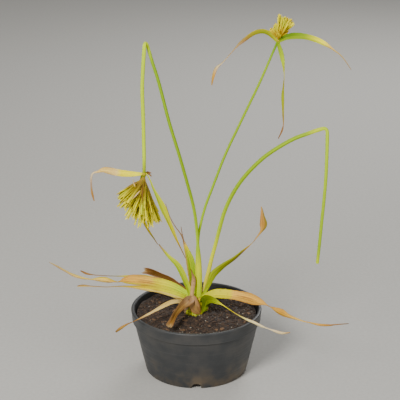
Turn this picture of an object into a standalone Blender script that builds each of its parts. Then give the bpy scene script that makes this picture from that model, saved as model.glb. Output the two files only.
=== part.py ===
"""A potted dense flat-sedge: a small clump with three culms and two flower heads in a plain plastic pan.

Units are metres. The origin is the middle of the pot's underside, +Z is up, +X is to the right of the
front view and +Y goes away from it. Run it with blender --background --python part.py.

A stem, leaf or bract is drawn by hand as a route. Each of its points is (across, rise, away) in
millimetres: across and rise as an eye in front of the clump sees them, from a little above level,
and away as the true distance behind the pot's axis. front_view() puts such a point in place.
"""

import math

import bmesh
import bpy
from mathutils import Matrix, Vector

MM = 0.001
GAP = 0.35 * MM  # left between pieces that touch
OVERSHOOT = 2 * MM  # how far a cutter runs past what it cuts

# Driving dimensions of the pot and the compost
POT_HEIGHT = 72 * MM
POT_RIM_RADIUS = 72 * MM
POT_FOOT_RADIUS = 56 * MM
POT_WALL = 2.4 * MM
RIM_DEPTH = 13 * MM
RIM_STEP = 3 * MM
DRAIN_RADIUS = 5.5 * MM
DRAIN_LENGTH = 15 * MM
SOIL_BELOW_RIM = 5 * MM
SOIL_TOP = POT_HEIGHT - SOIL_BELOW_RIM
SOIL_RIPPLE = 0.9 * MM
TURNED_STEPS = 32

# The front view that the routes are drawn in
EYE_TILT = math.radians(20)
EYE_DISTANCE = 1.6
AIM_ACROSS = 4 * MM
AIM_RISE = 119.5 * MM

# The plant
CROWN_SUNK = 8 * MM
LEAF_THICKNESS = 0.6 * MM
LEAF_ROWS = 21
BRACT_ROWS = 15
CULM_SIDES = 6
CULM_STEP = 9 * MM

GREEN = (0.33, 0.42, 0.05)
YELLOW_GREEN = (0.55, 0.52, 0.10)
STRAW = (0.72, 0.52, 0.24)
BROWN = (0.30, 0.18, 0.06)
DARK_GREEN = (0.12, 0.22, 0.02)
OCHRE = (0.52, 0.46, 0.12)
POT_GREY = (0.035, 0.036, 0.038)
PEAT = (0.045, 0.028, 0.018)


def clear_scene():
    for thing in list(bpy.data.objects):
        bpy.data.objects.remove(thing, do_unlink=True)


def new_collection(name):
    collection = bpy.data.collections.new(name)
    bpy.context.scene.collection.children.link(collection)
    return collection


def material(name, colour, roughness):
    made = bpy.data.materials.new(name)
    made.use_nodes = True
    shader = made.node_tree.nodes["Principled BSDF"]
    shader.inputs["Base Color"].default_value = (*colour, 1)
    shader.inputs["Roughness"].default_value = roughness
    shader.inputs["Metallic"].default_value = 0
    return made


def add_object(name, data, collection, finish=None):
    thing = bpy.data.objects.new(name, data)
    collection.objects.link(thing)
    if finish:
        data.materials.append(finish)
    return thing


def add_cutter(name, data):
    cutter = add_object(name, data, CUTTERS)
    cutter.hide_render = True
    cutter.display_type = "WIRE"
    return cutter


def cut(thing, cutter):
    modifier = thing.modifiers.new("cut_" + cutter.name, "BOOLEAN")
    modifier.operation = "DIFFERENCE"
    modifier.object = cutter


def baked(thing):
    """The object's evaluated mesh, welded, as a new mesh of its own."""
    bpy.context.view_layer.update()
    graph = bpy.context.evaluated_depsgraph_get()
    mesh = bpy.data.meshes.new_from_object(thing.evaluated_get(graph))
    body = bmesh.new()
    body.from_mesh(mesh)
    bmesh.ops.remove_doubles(body, verts=body.verts, dist=1e-6)
    body.to_mesh(mesh)
    body.free()
    return mesh


def front_view(point):
    """The place of a route point: across and rise as the eye sees them, away as a true distance."""
    across, rise, away = (value * MM for value in point)
    rise -= AIM_RISE
    sine, cosine = math.sin(EYE_TILT), math.cos(EYE_TILT)
    depth = (away - rise * sine) / (cosine + rise * sine / EYE_DISTANCE)
    growth = 1 + depth / EYE_DISTANCE
    aim_height = SOIL_TOP + AIM_RISE / (cosine - AIM_RISE * sine / EYE_DISTANCE)
    return Vector((
        AIM_ACROSS + (across - AIM_ACROSS) * growth,
        away,
        aim_height + rise * growth * cosine - depth * sine,
    ))


def smooth_value(values, place):
    """A Catmull-Rom value at place, which counts the listed values from 0."""
    index = min(int(place), len(values) - 2)
    share = place - index
    before = values[max(index - 1, 0)]
    start, end = values[index], values[index + 1]
    after = values[min(index + 2, len(values) - 1)]
    slope_in, slope_out = (end - before) / 2, (after - start) / 2
    square, cube = share**2, share**3
    return (
        start * (2 * cube - 3 * square + 1)
        + slope_in * (cube - 2 * square + share)
        + end * (3 * square - 2 * cube)
        + slope_out * (cube - square)
    )


def route_places(points, count):
    """count + 1 places along a route, in its points' own count, at even distances along it."""
    fine = [k / 12 for k in range(12 * (len(points) - 1) + 1)]
    line = [smooth_value(points, place) for place in fine]
    reach = [0.0]
    for near, far in zip(line, line[1:]):
        reach.append(reach[-1] + (far - near).length)
    places, step = [], 0
    for k in range(count + 1):
        wanted = reach[-1] * k / count
        while step < len(reach) - 2 and reach[step + 1] < wanted:
            step += 1
        share = (wanted - reach[step]) / (reach[step + 1] - reach[step])
        places.append(fine[step] + min(share, 1) / 12)
    return places


def turned(name, profile, finish, collection):
    """A shape turned on the Z axis from (radius, height) points in millimetres."""
    mesh = bpy.data.meshes.new(name)
    mesh.from_pydata(
        [(radius * MM, 0, height * MM) for radius, height in profile],
        [(k, k + 1) for k in range(len(profile) - 1)],
        [],
    )
    thing = add_object(name, mesh, collection, finish)
    screw = thing.modifiers.new("turn", "SCREW")
    screw.steps = screw.render_steps = TURNED_STEPS
    screw.use_merge_vertices = True
    screw.merge_threshold = 0.00001
    screw.use_smooth_shade = True
    return thing


def blade(name, route, finish, rows=LEAF_ROWS, fold=0.35, thickness=LEAF_THICKNESS):
    """A leaf or bract: a strip along its route, given a thickness.

    A route point is (across, rise, away, width, roll). At roll 0 the upper face looks at the front,
    and a positive roll turns it up. fold is how far the two halves rise beside the midrib.
    """
    points = [front_view(point[:3]) for point in route]
    widths = [point[3] * MM for point in route]
    rolls = [math.radians(point[4]) for point in route]
    turn = 1 if route[-1][0] > route[0][0] else -1
    to_eye = Vector((0, -math.cos(EYE_TILT), math.sin(EYE_TILT)))
    strip = bmesh.new()
    bmesh.ops.create_grid(strip, x_segments=rows, y_segments=2, size=1)
    strip.verts.ensure_lookup_table()
    places = route_places(points, rows)
    for vertex in strip.verts:
        row = round((vertex.co.x + 1) / 2 * rows)
        place = places[row]
        here = smooth_value(points, place)
        ahead = smooth_value(points, min(place + 0.02, len(points) - 1))
        behind = smooth_value(points, max(place - 0.02, 0))
        along = (ahead - behind).normalized()
        side = along.cross(to_eye).normalized()
        face = side.cross(along)
        roll = turn * smooth_value(rolls, place)
        across = side * math.cos(roll) + face * math.sin(roll)
        upward = face * math.cos(roll) - side * math.sin(roll)
        half = max(smooth_value(widths, place), 0.5 * MM) / 2
        edge = vertex.co.y
        vertex.co = here + across * (edge * half) + upward * (abs(edge) * half * fold)
    mesh = bpy.data.meshes.new(name)
    strip.to_mesh(mesh)
    strip.free()
    thing = add_object(name, mesh, PLANT, finish)
    solidify = thing.modifiers.new("thickness", "SOLIDIFY")
    solidify.thickness = thickness
    solidify.offset = 0
    return thing


def culm(name, route, finish):
    """A flower stem: a tube along its route of (across, rise, away, diameter) points."""
    points = [front_view(point[:3]) for point in route]
    diameters = [point[3] * MM for point in route]
    length = sum((far - near).length for near, far in zip(points, points[1:]))
    places = route_places(points, round(length / CULM_STEP))
    places = sorted(set(places) | set(range(len(points))))
    places = [p for k, p in enumerate(places) if k == 0 or p - places[k - 1] > 0.05]
    curve = bpy.data.curves.new(name, "CURVE")
    curve.dimensions = "3D"
    curve.bevel_depth = 1
    curve.bevel_resolution = CULM_SIDES // 2 - 2
    curve.use_fill_caps = True
    spline = curve.splines.new("POLY")
    spline.points.add(len(places) - 1)
    for point, place in zip(spline.points, places):
        point.co = (*smooth_value(points, place), 1)
        point.radius = smooth_value(diameters, place) / 2
    drawn = add_object(name + "_line", curve, CUTTERS)
    thing = add_object(name, baked(drawn), PLANT, finish)
    bpy.data.objects.remove(drawn)
    return thing


def spindle(name, length, radius, sides, widest):
    """A body along +Z that swells to its radius at the share widest of its length, then narrows."""
    body = bmesh.new()
    middle = widest * length
    for low, high, start, end in ((0, middle, 0.35, 1), (middle, length, 1, 0.15)):
        made = bmesh.ops.create_cone(
            body,
            cap_ends=True,
            segments=sides,
            radius1=start * radius,
            radius2=end * radius,
            depth=high - low,
        )
        bmesh.ops.translate(body, verts=made["verts"], vec=(0, 0, (low + high) / 2))
    inner = [f for f in body.faces if abs(f.calc_center_median().z - middle) < 1e-6]
    bmesh.ops.delete(body, geom=inner, context="FACES_ONLY")
    bmesh.ops.remove_doubles(body, verts=body.verts, dist=1e-6)
    mesh = bpy.data.meshes.new(name)
    body.to_mesh(mesh)
    body.free()
    return mesh


def join(base, others):
    """Fuses the other objects to base in one Boolean union, and keeps them as hidden guides."""
    guides = bpy.data.collections.new(base.name + "_guides")
    for other in others:
        guides.objects.link(other)
    union = base.modifiers.new("join", "BOOLEAN")
    union.operation = "UNION"
    union.solver = "EXACT"
    union.operand_type = "COLLECTION"
    union.collection = guides
    return base


def make_pot():
    inner_foot = POT_FOOT_RADIUS - POT_WALL
    inner_rim = POT_RIM_RADIUS - RIM_STEP - POT_WALL
    rim_low = POT_HEIGHT - RIM_DEPTH
    slope = (POT_RIM_RADIUS - RIM_STEP - POT_FOOT_RADIUS) / rim_low
    profile = [
        (0, POT_WALL),
        (inner_foot, POT_WALL),
        (inner_foot + slope * rim_low, rim_low),
        (inner_rim + 2 * MM, POT_HEIGHT - 1.5 * MM),
        (inner_rim + 3 * MM, POT_HEIGHT),
        (POT_RIM_RADIUS - 1 * MM, POT_HEIGHT),
        (POT_RIM_RADIUS, POT_HEIGHT - 1 * MM),
        (POT_RIM_RADIUS - 1 * MM, rim_low),
        (POT_FOOT_RADIUS + slope * rim_low, rim_low),
        (POT_FOOT_RADIUS, 1 * MM),
        (POT_FOOT_RADIUS - 1 * MM, 0),
        (0, 0),
    ]
    pot = turned("pot", [(r / MM, z / MM) for r, z in profile], PLASTIC, PLANT)
    for number in range(4):
        body = bmesh.new()
        bmesh.ops.create_cone(
            body,
            cap_ends=True,
            segments=12,
            radius1=DRAIN_RADIUS,
            radius2=DRAIN_RADIUS,
            depth=DRAIN_LENGTH,
        )
        mesh = bpy.data.meshes.new("drain")
        body.to_mesh(mesh)
        body.free()
        drain = add_cutter(f"drain_{number}", mesh)
        turn = Matrix.Rotation(number * math.pi / 2, 4, "Z")
        out = Matrix.Translation((POT_FOOT_RADIUS - 3 * MM, 0, 1 * MM))
        drain.matrix_world = turn @ out @ Matrix.Rotation(math.pi / 2, 4, "Y")
        cut(pot, drain)
    return pot


def make_soil():
    floor = POT_WALL + GAP
    foot = POT_FOOT_RADIUS - POT_WALL - GAP
    slope = (POT_RIM_RADIUS - RIM_STEP - POT_FOOT_RADIUS) / (POT_HEIGHT - RIM_DEPTH)
    edge_height = POT_HEIGHT - RIM_DEPTH
    edge = foot + slope * edge_height - GAP
    rings = [(share * edge, SOIL_TOP) for share in (0, 0.16, 0.34, 0.52, 0.7, 0.87)]
    profile = rings + [(edge, SOIL_TOP - 1.5 * MM), (edge, edge_height), (foot, floor), (0, floor)]
    turned_soil = turned("soil_turned", [(r / MM, z / MM) for r, z in profile], PEAT_FINISH, CUTTERS)
    soil = add_object("soil", baked(turned_soil), PLANT)
    bpy.data.objects.remove(turned_soil)
    for vertex in soil.data.vertices:
        x, y, z = vertex.co
        if z > SOIL_TOP - 2 * MM:
            ripple = math.sin(x * 210 + 1.3) * math.cos(y * 170 + 0.4) + 0.5 * math.sin((x + y) * 390)
            vertex.co.z = z + SOIL_RIPPLE * ripple * min(1, math.hypot(x, y) / (25 * MM))
    return soil


def crown_shape(grow):
    """The fused shoot bases, as (x, y, radius, height above the soil) cones, made larger by grow."""
    shoots = ((-1.0, 0.0, 8.0, 21.0), (7.6, 1.2, 5.0, 20.0), (-7.0, 1.6, 5.0, 19.0), (1.5, 6.0, 5.6, 15.0))
    made = []
    for number, (x, y, radius, height) in enumerate(shoots):
        body = bmesh.new()
        depth = CROWN_SUNK + height * MM + 2 * grow
        bmesh.ops.create_cone(
            body,
            cap_ends=True,
            segments=14,
            radius1=radius * MM + grow,
            radius2=0.62 * radius * MM + grow,
            depth=depth,
        )
        bmesh.ops.translate(
            body,
            verts=body.verts,
            vec=(x * MM, y * MM, SOIL_TOP - CROWN_SUNK - grow + depth / 2),
        )
        mesh = bpy.data.meshes.new("shoot")
        body.to_mesh(mesh)
        body.free()
        made.append(add_cutter(f"shoot_{number}_{round(grow / MM * 100)}", mesh))
    return made


def make_crown():
    first, *others = crown_shape(0)
    crown = add_object("crown", first.data, PLANT, BASE_FINISH)
    join(crown, others)
    bare = crown_shape(GAP)
    return crown, bare


def head_rows(count, core, length, widest, one_sided):
    """(turn, start, spread, length) of a head's spikelets, from its axis out to the widest spread."""
    rows = []
    for k in range(count):
        share = (k + 0.3) / count
        turn = math.radians(k * 137.5)
        narrowed = 1 - one_sided * (1 + math.cos(turn)) / 2
        start = core * (1 - 0.75 * share**1.5)
        spread = math.radians(widest * math.sqrt(share)) * narrowed
        rows.append((turn, start, spread, length * (1 + 0.07 * math.sin(2.3 * k))))
    return rows


def leaning(turn, spread, lean, sense):
    """The direction at a spread from straight up, or straight down, leaned to the right."""
    upright = Vector((
        math.sin(spread) * math.cos(turn),
        math.sin(spread) * math.sin(turn),
        math.cos(spread) * sense,
    ))
    return Matrix.Rotation(math.radians(lean) * sense, 3, "Y") @ upright


def facing(direction):
    return direction.to_track_quat("Z", "Y").to_matrix().to_4x4()


def flower_head(name, node, sense, lean, heart_size, rows, radius):
    """A head of spikelets around a solid heart, fused into one; sense is 1 for up and -1 for down."""
    place = Matrix.Translation(front_view(node))
    heart_length, heart_radius = heart_size
    heart_mesh = spindle(name, heart_length * MM, heart_radius * MM, sides=8, widest=0.7)
    heart = add_object(name, heart_mesh, PLANT, HEAD_FINISH)
    heart.matrix_world = place @ facing(leaning(0, 0, lean, sense))
    guides = []
    for number, (turn, start, spread, length) in enumerate(rows):
        guide = add_cutter(f"{name}_{number}", spindle("spikelet", length * MM, radius * MM, 5, 0.4))
        ray = leaning(turn, 0.3 * spread, lean, sense)
        stand = Matrix.Translation(ray * start * MM)
        twist = Matrix.Rotation(number * 1.1, 4, "Z") @ Matrix.Diagonal((1, 0.62, 1, 1))
        guide.matrix_world = place @ stand @ facing(leaning(turn, spread, lean, sense)) @ twist
        guides.append(guide)
    return join(heart, guides)


CULMS = {
    "culm_folded": [
        (2.5, 18, -1.8, 3.2), (2.4, 40, -2.0, 3.2), (1.9, 62, -2.2, 3.2), (1.2, 78, -2.6, 3.3),
        (-1.0, 100, -3.2, 3.4), (-4.5, 118, -4, 3.5), (-10.5, 140, -5.5, 3.5), (-18.4, 167.5, -7.5, 3.5),
        (-29.4, 203.5, -10, 3.5), (-40.4, 245.5, -13, 3.5), (-47.5, 268, -14, 3.4), (-51.8, 282.5, -14.8, 3.2),
        (-53.6, 287.6, -16, 2.4), (-54.8, 288.2, -18.2, 2.2), (-55.6, 285.5, -20, 3.0),
        (-56.3, 275.5, -20.6, 3.8), (-57.3, 258, -20.8, 3.9), (-58, 238, -21, 3.9), (-57.1, 212, -21, 3.9),
        (-56.4, 185, -21, 3.8), (-56, 166, -21, 3.7), (-56, 151.5, -21, 3.6),
    ],
    "culm_upright": [
        (0.6, 18, 2.2, 2.8), (0.8, 45, 2.2, 2.8), (2.0, 77.5, 2.4, 2.8), (5.2, 96, 3, 2.8),
        (10.2, 114, 4, 2.8), (17, 132, 5.5, 2.8), (31, 168, 9, 2.8), (48, 204, 13, 2.7),
        (68.2, 246, 19, 2.6), (83.5, 281, 24, 2.4), (86.5, 287, 25, 2.4),
    ],
    "culm_bent": [
        (7.8, 18, 1.5, 5.0), (9.6, 28, 1.5, 5.0), (12.4, 40, 1.2, 4.5), (16.2, 56, 0.6, 4.0),
        (20.6, 72, 0, 4.0), (25.8, 92, -1, 4.1), (30.6, 108, -2, 4.1), (39, 126, -4, 4.2),
        (51.2, 144, -6, 4.2), (68.6, 162, -9, 4.2), (84, 173.5, -11, 4.2), (104, 185, -13, 4.2),
        (121, 191.5, -15, 4.1), (133, 195.6, -16, 3.8), (138.6, 196.4, -16.5, 3.1),
        (140.8, 193.5, -17, 3.2), (141, 186, -17, 3.6), (140.6, 168, -17, 3.6), (139.5, 143.5, -17, 3.6),
        (137.5, 119.5, -17, 3.5), (135, 95.5, -17, 3.5), (132.5, 71, -17, 3.4), (130.3, 51.5, -17, 3.3),
    ],
}

LEAVES = {
    "leaf_left_broad": ("leaf", [
        (-5, 17.6, 1.6, 5, 30), (-14, 20, 2.6, 7.8, 30), (-28, 26, 4, 11, 32), (-46.5, 30.3, 6, 12, 32),
        (-67, 32.6, 9, 12, 30), (-77, 32.2, 11, 8.5, 45), (-84, 31, 12, 3, 88), (-91, 31.6, 13, 5, 140),
        (-98, 32.8, 15, 7, 150), (-106, 33.4, 17, 5, 145), (-113, 33.8, 18, 2.2, 130),
        (-122, 35.2, 20, 2.6, 150), (-132, 38, 23, 3.2, 150), (-141, 42.8, 26, 2.8, 150),
        (-150, 48, 28, 1.8, 150), (-158, 52.5, 30, 0.6, 150),
    ]),
    "leaf_left_low": ("leaf", [
        (-6, 12.2, -1.8, 4, 25), (-17, 15.3, -6.4, 7.6, 25), (-29, 19.3, -9, 8, 28), (-41, 22.2, -12, 7, 28),
        (-59, 24.8, -16, 5.4, 25), (-72, 26, -19, 3, 30), (-82, 26.5, -21, 1.8, 40),
        (-98, 25.9, -24, 1.4, 40), (-112, 26.7, -27, 1.6, 30), (-121, 27.3, -29, 2.2, 20),
        (-128, 26.7, -30, 1, 20),
    ]),
    "leaf_left_behind": ("leaf", [
        (-9, 19, 4.5, 4, 30), (-20, 25, 11, 6, 30), (-40, 32, 17, 6.5, 35), (-60, 36, 23, 6, 40),
        (-82, 37.4, 29, 1.6, 50), (-98, 37.9, 33, 1.3, 50), (-110, 38.9, 36, 1.4, 40),
        (-118, 40.2, 38, 2.4, 20), (-124.5, 43.4, 40, 1, 20),
    ]),
    "leaf_left_pale": ("leaf", [
        (-8, 7.5, -5, 2.4, 20), (-15.5, 9.6, -14, 3.4, 20), (-24, 10, -21, 5.4, 20), (-32, 7, -28, 6.4, 20),
        (-41, 2.2, -36, 5, 25), (-50.5, -3, -45, 3.6, 30), (-60, -8, -52, 1.8, 50),
        (-67, -11.2, -57, 1.6, 80), (-75, -15, -63, 3.2, 140), (-81, -18.8, -67, 3.8, 155),
        (-86.6, -22.5, -71, 1.4, 160),
    ]),
    "leaf_dry_front": ("dead", [
        (-6.6, 6, -5.4, 5, 10), (-12, 6.2, -15.5, 7.6, 10), (-17, 3.2, -24, 7.4, 12), (-21.8, -3.2, -37, 6.8, 12),
        (-25.8, -10.5, -50, 6.8, 12), (-29.5, -17.6, -57, 8.6, 10),
    ]),
    "leaf_dry_behind": ("dead", [
        (-6, 19, 8, 3, 20), (-15, 25, 15, 3.6, 20), (-27, 32.5, 24, 5.4, 20), (-41, 38, 33, 6.6, 20),
        (-50, 41, 40, 7.2, 20), (-57, 43, 44, 7, 15),
    ]),
    "leaf_dark_front": ("dark", [
        (4, 6, -6, 7, 0), (8, 8.5, -9.5, 11, 0), (12, 11.3, -14, 13, 5), (17.5, 11, -20, 8, 15), (23, 8.5, -26, 4.4, 30),
        (28.5, 6, -31, 1.6, 60), (36, 1, -37, 1.4, 80), (44, -4, -43, 1.6, 100), (53.8, -9.5, -50, 2.8, 140),
        (62, -13, -55, 3.2, 150), (71, -17, -60, 2.6, 150), (78, -19.5, -64, 1.8, 120),
        (84.8, -22.3, -68, 2.8, 150), (93, -24, -72, 2.4, 160), (101, -23, -76, 0.7, 160),
    ]),
    "leaf_right_broad": ("leaf", [
        (6, 14.5, -4.5, 6, 25), (18, 17.6, -8, 9.6, 28), (27, 17.7, -10, 11.4, 30), (39, 16.5, -13, 11, 30),
        (54, 13.4, -16.5, 12.6, 28), (63, 10.4, -19, 11.4, 28), (71, 7.8, -21, 7, 45), (77.4, 5.3, -23, 2.6, 88),
        (84, 1.4, -25, 5.4, 140), (91.7, -2.5, -28, 8, 150), (100.4, -6.3, -31, 4.4, 145),
        (113.6, -10.9, -36, 2.2, 130), (122.7, -12.8, -39, 2, 140), (132, -14.9, -42, 2.4, 155),
        (142, -15.5, -46, 2.4, 155), (151.4, -14.5, -50, 1.2, 150), (164, -13.5, -54, 0.6, 150),
    ]),
    "leaf_right_rising": ("leaf", [
        (9, 20, -2.2, 3.4, 10), (14.5, 31, -2.6, 5.4, 12), (18.5, 39, -1, 7.6, 18), (23.5, 43.9, 1, 7.2, 22),
        (30, 49, 4, 5.8, 25), (42.5, 57.7, 9, 4, 30), (53, 66.6, 13, 2.6, 45), (60, 72.8, 16, 1.4, 80),
        (64.5, 78, 18, 2, 110), (70, 85, 20, 3.6, 140), (73, 92.5, 22, 8.6, 160), (71.8, 101.5, 24, 5, 165),
        (70, 112.5, 26, 0.9, 165),
    ]),
    "leaf_left_rising": ("leaf", [
        (-7.4, 20, 0.8, 4, 12), (-9, 26, 1.6, 5.6, 12), (-12.5, 34, 3.2, 6.4, 15), (-16, 42, 5.5, 6.6, 15),
        (-21.4, 50.5, 7.5, 5.8, 18), (-29, 58, 10, 3.8, 20), (-36, 66, 12, 2.2, 25), (-40.5, 72, 13, 0.8, 30),
    ]),
    "leaf_split_tip": ("leaf", [
        (-3.4, 17, 5.6, 5, 8), (-4, 32, 6, 8, 8), (-5.4, 44, 6.2, 9.4, 8), (-7.2, 55.5, 6.8, 9, 8),
        (-10.4, 65.5, 7.4, 5.6, 8), (-13, 73.5, 8, 3, 10), (-16, 81.5, 9, 1.6, 20), (-23, 91.5, 10, 1.1, 30),
        (-29, 102.5, 12, 1, 30), (-33, 115.5, 14, 0.8, 30),
    ]),
    "leaf_sheath_centre": ("leaf", [
        (2.6, 18, -5.2, 5.6, 0), (2.6, 34, -5.2, 7.2, 0), (2.4, 50, -5.2, 6.4, 0), (1.9, 64, -5.6, 4.6, 0),
        (1.4, 76, -6, 2, 0),
    ]),
    "leaf_withered_front": ("dead", [
        (-1.9, -1.2, -10.6, 10.4, 0), (-2.2, 5, -10.6, 10, 0), (-3, 11, -10.4, 7.6, 0),
        (-4, 19, -9.4, 4.2, 0), (-3.2, 29, -8.6, 5, 0), (-2.6, 37, -8, 4.6, 0), (-6, 45.5, -7.6, 0.9, 0),
    ]),
}

BRACTS = {
    "bract_hanging_left": ("leaf", [
        (-58.2, 148, -21, 2.6, 10), (-66, 147.2, -21.5, 5, 12), (-75, 147.4, -22, 6.6, 15), (-84.5, 148.4, -22.5, 7.4, 18),
        (-93, 150.2, -23, 7.4, 20), (-99.5, 151.4, -23.5, 6, 20), (-105.5, 149.5, -24, 3.2, 40),
        (-110.5, 147.8, -24, 3, 60), (-112.5, 143.5, -24, 2.6, 40), (-112.8, 136, -24, 1.9, 30),
        (-111.8, 127.5, -24, 2.4, 20), (-109.7, 118.5, -24, 0.8, 20),
    ]),
    "bract_hanging_right": ("leaf", [
        (-53.2, 147.4, -22.5, 1.8, 30), (-50, 141, -26, 2.2, 40), (-46, 131, -30, 3.6, 30),
        (-40.5, 121, -32, 6.4, 15), (-36, 111, -32, 5.4, 15), (-31.5, 100, -31, 4.8, 20),
        (-26.5, 88.5, -28, 4, 25), (-20.5, 75, -24, 2.4, 30), (-16.6, 67, -21, 1.2, 40),
        (-11.6, 57, -18, 0.8, 50),
    ]),
    "bract_hanging_thin": ("leaf", [
        (-57.2, 148.5, -18.4, 1.6, 0), (-58, 147, -12, 2.4, 0), (-59.5, 137, 0, 2.8, 0), (-59.8, 116, 7, 3, 0),
        (-56.8, 98, 8, 3, 10), (-51.6, 87, 7.6, 2.2, 10), (-45.5, 78, 7, 1.2, 20), (-41.5, 71.8, 6, 0.6, 20),
    ]),
    "bract_hanging_stub": ("dead", [
        (-54.2, 149, -20, 1.6, 0), (-51.5, 148.4, -19.6, 2.4, 0), (-48, 145.6, -19.2, 1.4, 0),
    ]),
    "bract_top_left": ("leaf", [
        (86, 291, 24.2, 3.2, 10), (81.5, 295.5, 23, 4.2, 12), (76, 299.4, 22, 5, 15), (69, 300.4, 20.5, 5, 18),
        (60.5, 297.6, 19, 4.6, 20), (49, 289, 16.5, 3.4, 25), (41.5, 281.5, 15, 1.9, 50), (29, 267.5, 12.5, 1.5, 60),
        (22, 261, 11, 3.2, 20), (19, 254, 10, 3, 15), (16.6, 243, 9, 0.7, 20),
    ]),
    "bract_top_right": ("leaf", [
        (89.8, 290.8, 22.2, 3.6, 10), (96, 293.8, 21.8, 5.4, 12), (104.5, 295.4, 21.4, 7, 15), (116, 294.8, 20.6, 6.6, 18),
        (128, 291.6, 20, 6.2, 20), (138, 286.8, 18, 5, 25), (148, 280.2, 16, 2.4, 40), (157, 273, 14, 1.6, 50),
        (166.5, 259.5, 12, 0.7, 50),
    ]),
    "bract_top_drooping": ("leaf", [
        (88.8, 285.6, 22.8, 3.8, 0), (91.2, 278, 21.2, 4.6, 5), (93, 270, 20.2, 4, 10), (94.2, 262, 19.5, 2.2, 30),
        (94.8, 253, 19, 1.2, 70), (94, 242, 18.6, 1.8, 40), (93.2, 230, 18.4, 3, 20), (93.7, 212, 18.2, 2.2, 40),
        (93.9, 201, 18, 1.2, 60), (92.3, 194, 17.6, 1.8, 20), (88.2, 185.6, 17, 0.7, 20),
    ]),
}

clear_scene()
PLANT = new_collection("potted_flat_sedge")
CUTTERS = new_collection("guides")

PLASTIC = material("pot_plastic", POT_GREY, 0.55)
PEAT_FINISH = material("compost", PEAT, 0.95)
BASE_FINISH = material("crown", YELLOW_GREEN, 0.6)
STEM_FINISH = material("culm", YELLOW_GREEN, 0.5)
HEAD_FINISH = material("spikelets", OCHRE, 0.7)
LEAF_FINISHES = {
    "leaf": material("leaf", YELLOW_GREEN, 0.55),
    "dark": material("dark_leaf", DARK_GREEN, 0.5),
    "dead": material("dead_leaf", BROWN, 0.85),
}

make_pot()
soil = make_soil()
crown, bare_crown = make_crown()
rooted = [soil]
for culm_name, culm_route in CULMS.items():
    rooted.append(culm(culm_name, culm_route, STEM_FINISH))
for leaf_name, (kind, leaf_route) in LEAVES.items():
    rooted.append(blade(leaf_name, leaf_route, LEAF_FINISHES[kind]))
for thing in rooted:
    for shoot in bare_crown:
        cut(thing, shoot)
for bract_name, (kind, bract_route) in BRACTS.items():
    blade(bract_name, bract_route, LEAF_FINISHES[kind], rows=BRACT_ROWS)

flower_head(
    "flower_head_hanging",
    node=(-56, 145, -21),
    sense=-1,
    lean=0,
    heart_size=(32, 8.5),
    rows=head_rows(26, core=28, length=28, widest=64, one_sided=0.36),
    radius=2.3,
)
flower_head(
    "flower_head_top",
    node=(88.2, 292.5, 26),
    sense=1,
    lean=14,
    heart_size=(13, 3.2),
    rows=head_rows(15, core=12, length=15, widest=50, one_sided=0),
    radius=1.6,
)
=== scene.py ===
# %% [markdown]
# # A potted dense flat-sedge
#
# A dense flat-sedge is a clump-forming plant of wet ground. Its leaves are long keeled straps, its flower
# stems (culms) are leafless and bluntly three-sided, and each stem ends in a head of flat spikelets with
# leaf-like bracts under it. This one is drying out: one stem has folded over, one has bent and lost its
# head, and most leaves run from green through yellow to straw and brown. It stands in a plain plastic pan.
#
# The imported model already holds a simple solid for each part. This lesson dresses them: every leaf, stem
# and head is modelled again with its fine shape, in the same place. All lengths are in metres.

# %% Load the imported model
import math
import random

import bpy
from mathutils import Matrix, Vector, noise


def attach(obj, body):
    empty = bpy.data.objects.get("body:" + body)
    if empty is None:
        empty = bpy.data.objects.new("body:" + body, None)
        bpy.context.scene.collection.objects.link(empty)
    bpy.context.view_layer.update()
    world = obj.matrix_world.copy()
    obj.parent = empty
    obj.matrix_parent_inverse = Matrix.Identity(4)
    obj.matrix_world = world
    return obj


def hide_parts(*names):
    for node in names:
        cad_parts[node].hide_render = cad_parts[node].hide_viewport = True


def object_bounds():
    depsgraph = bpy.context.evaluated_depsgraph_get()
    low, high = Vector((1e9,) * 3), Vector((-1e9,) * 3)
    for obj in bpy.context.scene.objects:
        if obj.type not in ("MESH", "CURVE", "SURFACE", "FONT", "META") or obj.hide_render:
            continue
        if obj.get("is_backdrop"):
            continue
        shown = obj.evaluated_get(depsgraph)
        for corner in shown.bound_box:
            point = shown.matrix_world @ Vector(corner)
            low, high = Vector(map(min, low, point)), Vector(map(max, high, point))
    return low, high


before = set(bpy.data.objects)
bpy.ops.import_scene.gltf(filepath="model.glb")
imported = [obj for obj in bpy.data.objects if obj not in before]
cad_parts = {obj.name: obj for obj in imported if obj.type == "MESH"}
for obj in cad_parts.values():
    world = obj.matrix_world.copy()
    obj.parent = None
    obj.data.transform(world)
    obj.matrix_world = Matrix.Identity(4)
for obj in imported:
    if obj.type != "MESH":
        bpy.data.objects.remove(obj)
cad_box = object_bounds()
MM = 0.001
print("nodes:", len(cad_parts), "box:", [[round(v, 3) for v in corner] for corner in cad_box])

# %% [markdown]
# ## Measured sizes
#
# The pot's sizes are those of a common 14 cm pan. The plant is drawn from the front: a point is
# (across, rise, away) in millimetres, where across and rise are what an eye in front of the plant sees
# from 20 degrees above level, and away is the true distance behind the pot's axis. Drawing it that way
# lets every stem and leaf be checked against one picture, and still puts it in real depth.

# %% Name the sizes of the pot and the front view
POT_HEIGHT = 72 * MM
RIM_RADIUS = 72 * MM
FOOT_RADIUS = 56 * MM
WALL = 2.4 * MM
RIM_DEPTH = 13 * MM
RIM_STEP = 3 * MM
SOIL_TOP = POT_HEIGHT - 5 * MM

EYE_TILT = math.radians(20)
EYE_DISTANCE = 1.6
AIM_RISE = 119.5 * MM
AIM_ACROSS = 4 * MM
SINE, COSINE = math.sin(EYE_TILT), math.cos(EYE_TILT)
AIM = Vector((AIM_ACROSS, 0, SOIL_TOP + AIM_RISE / (COSINE - AIM_RISE * SINE / EYE_DISTANCE)))
TO_EYE = Vector((0, -COSINE, SINE))
print("the eye looks at", [round(v, 4) for v in AIM])


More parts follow.
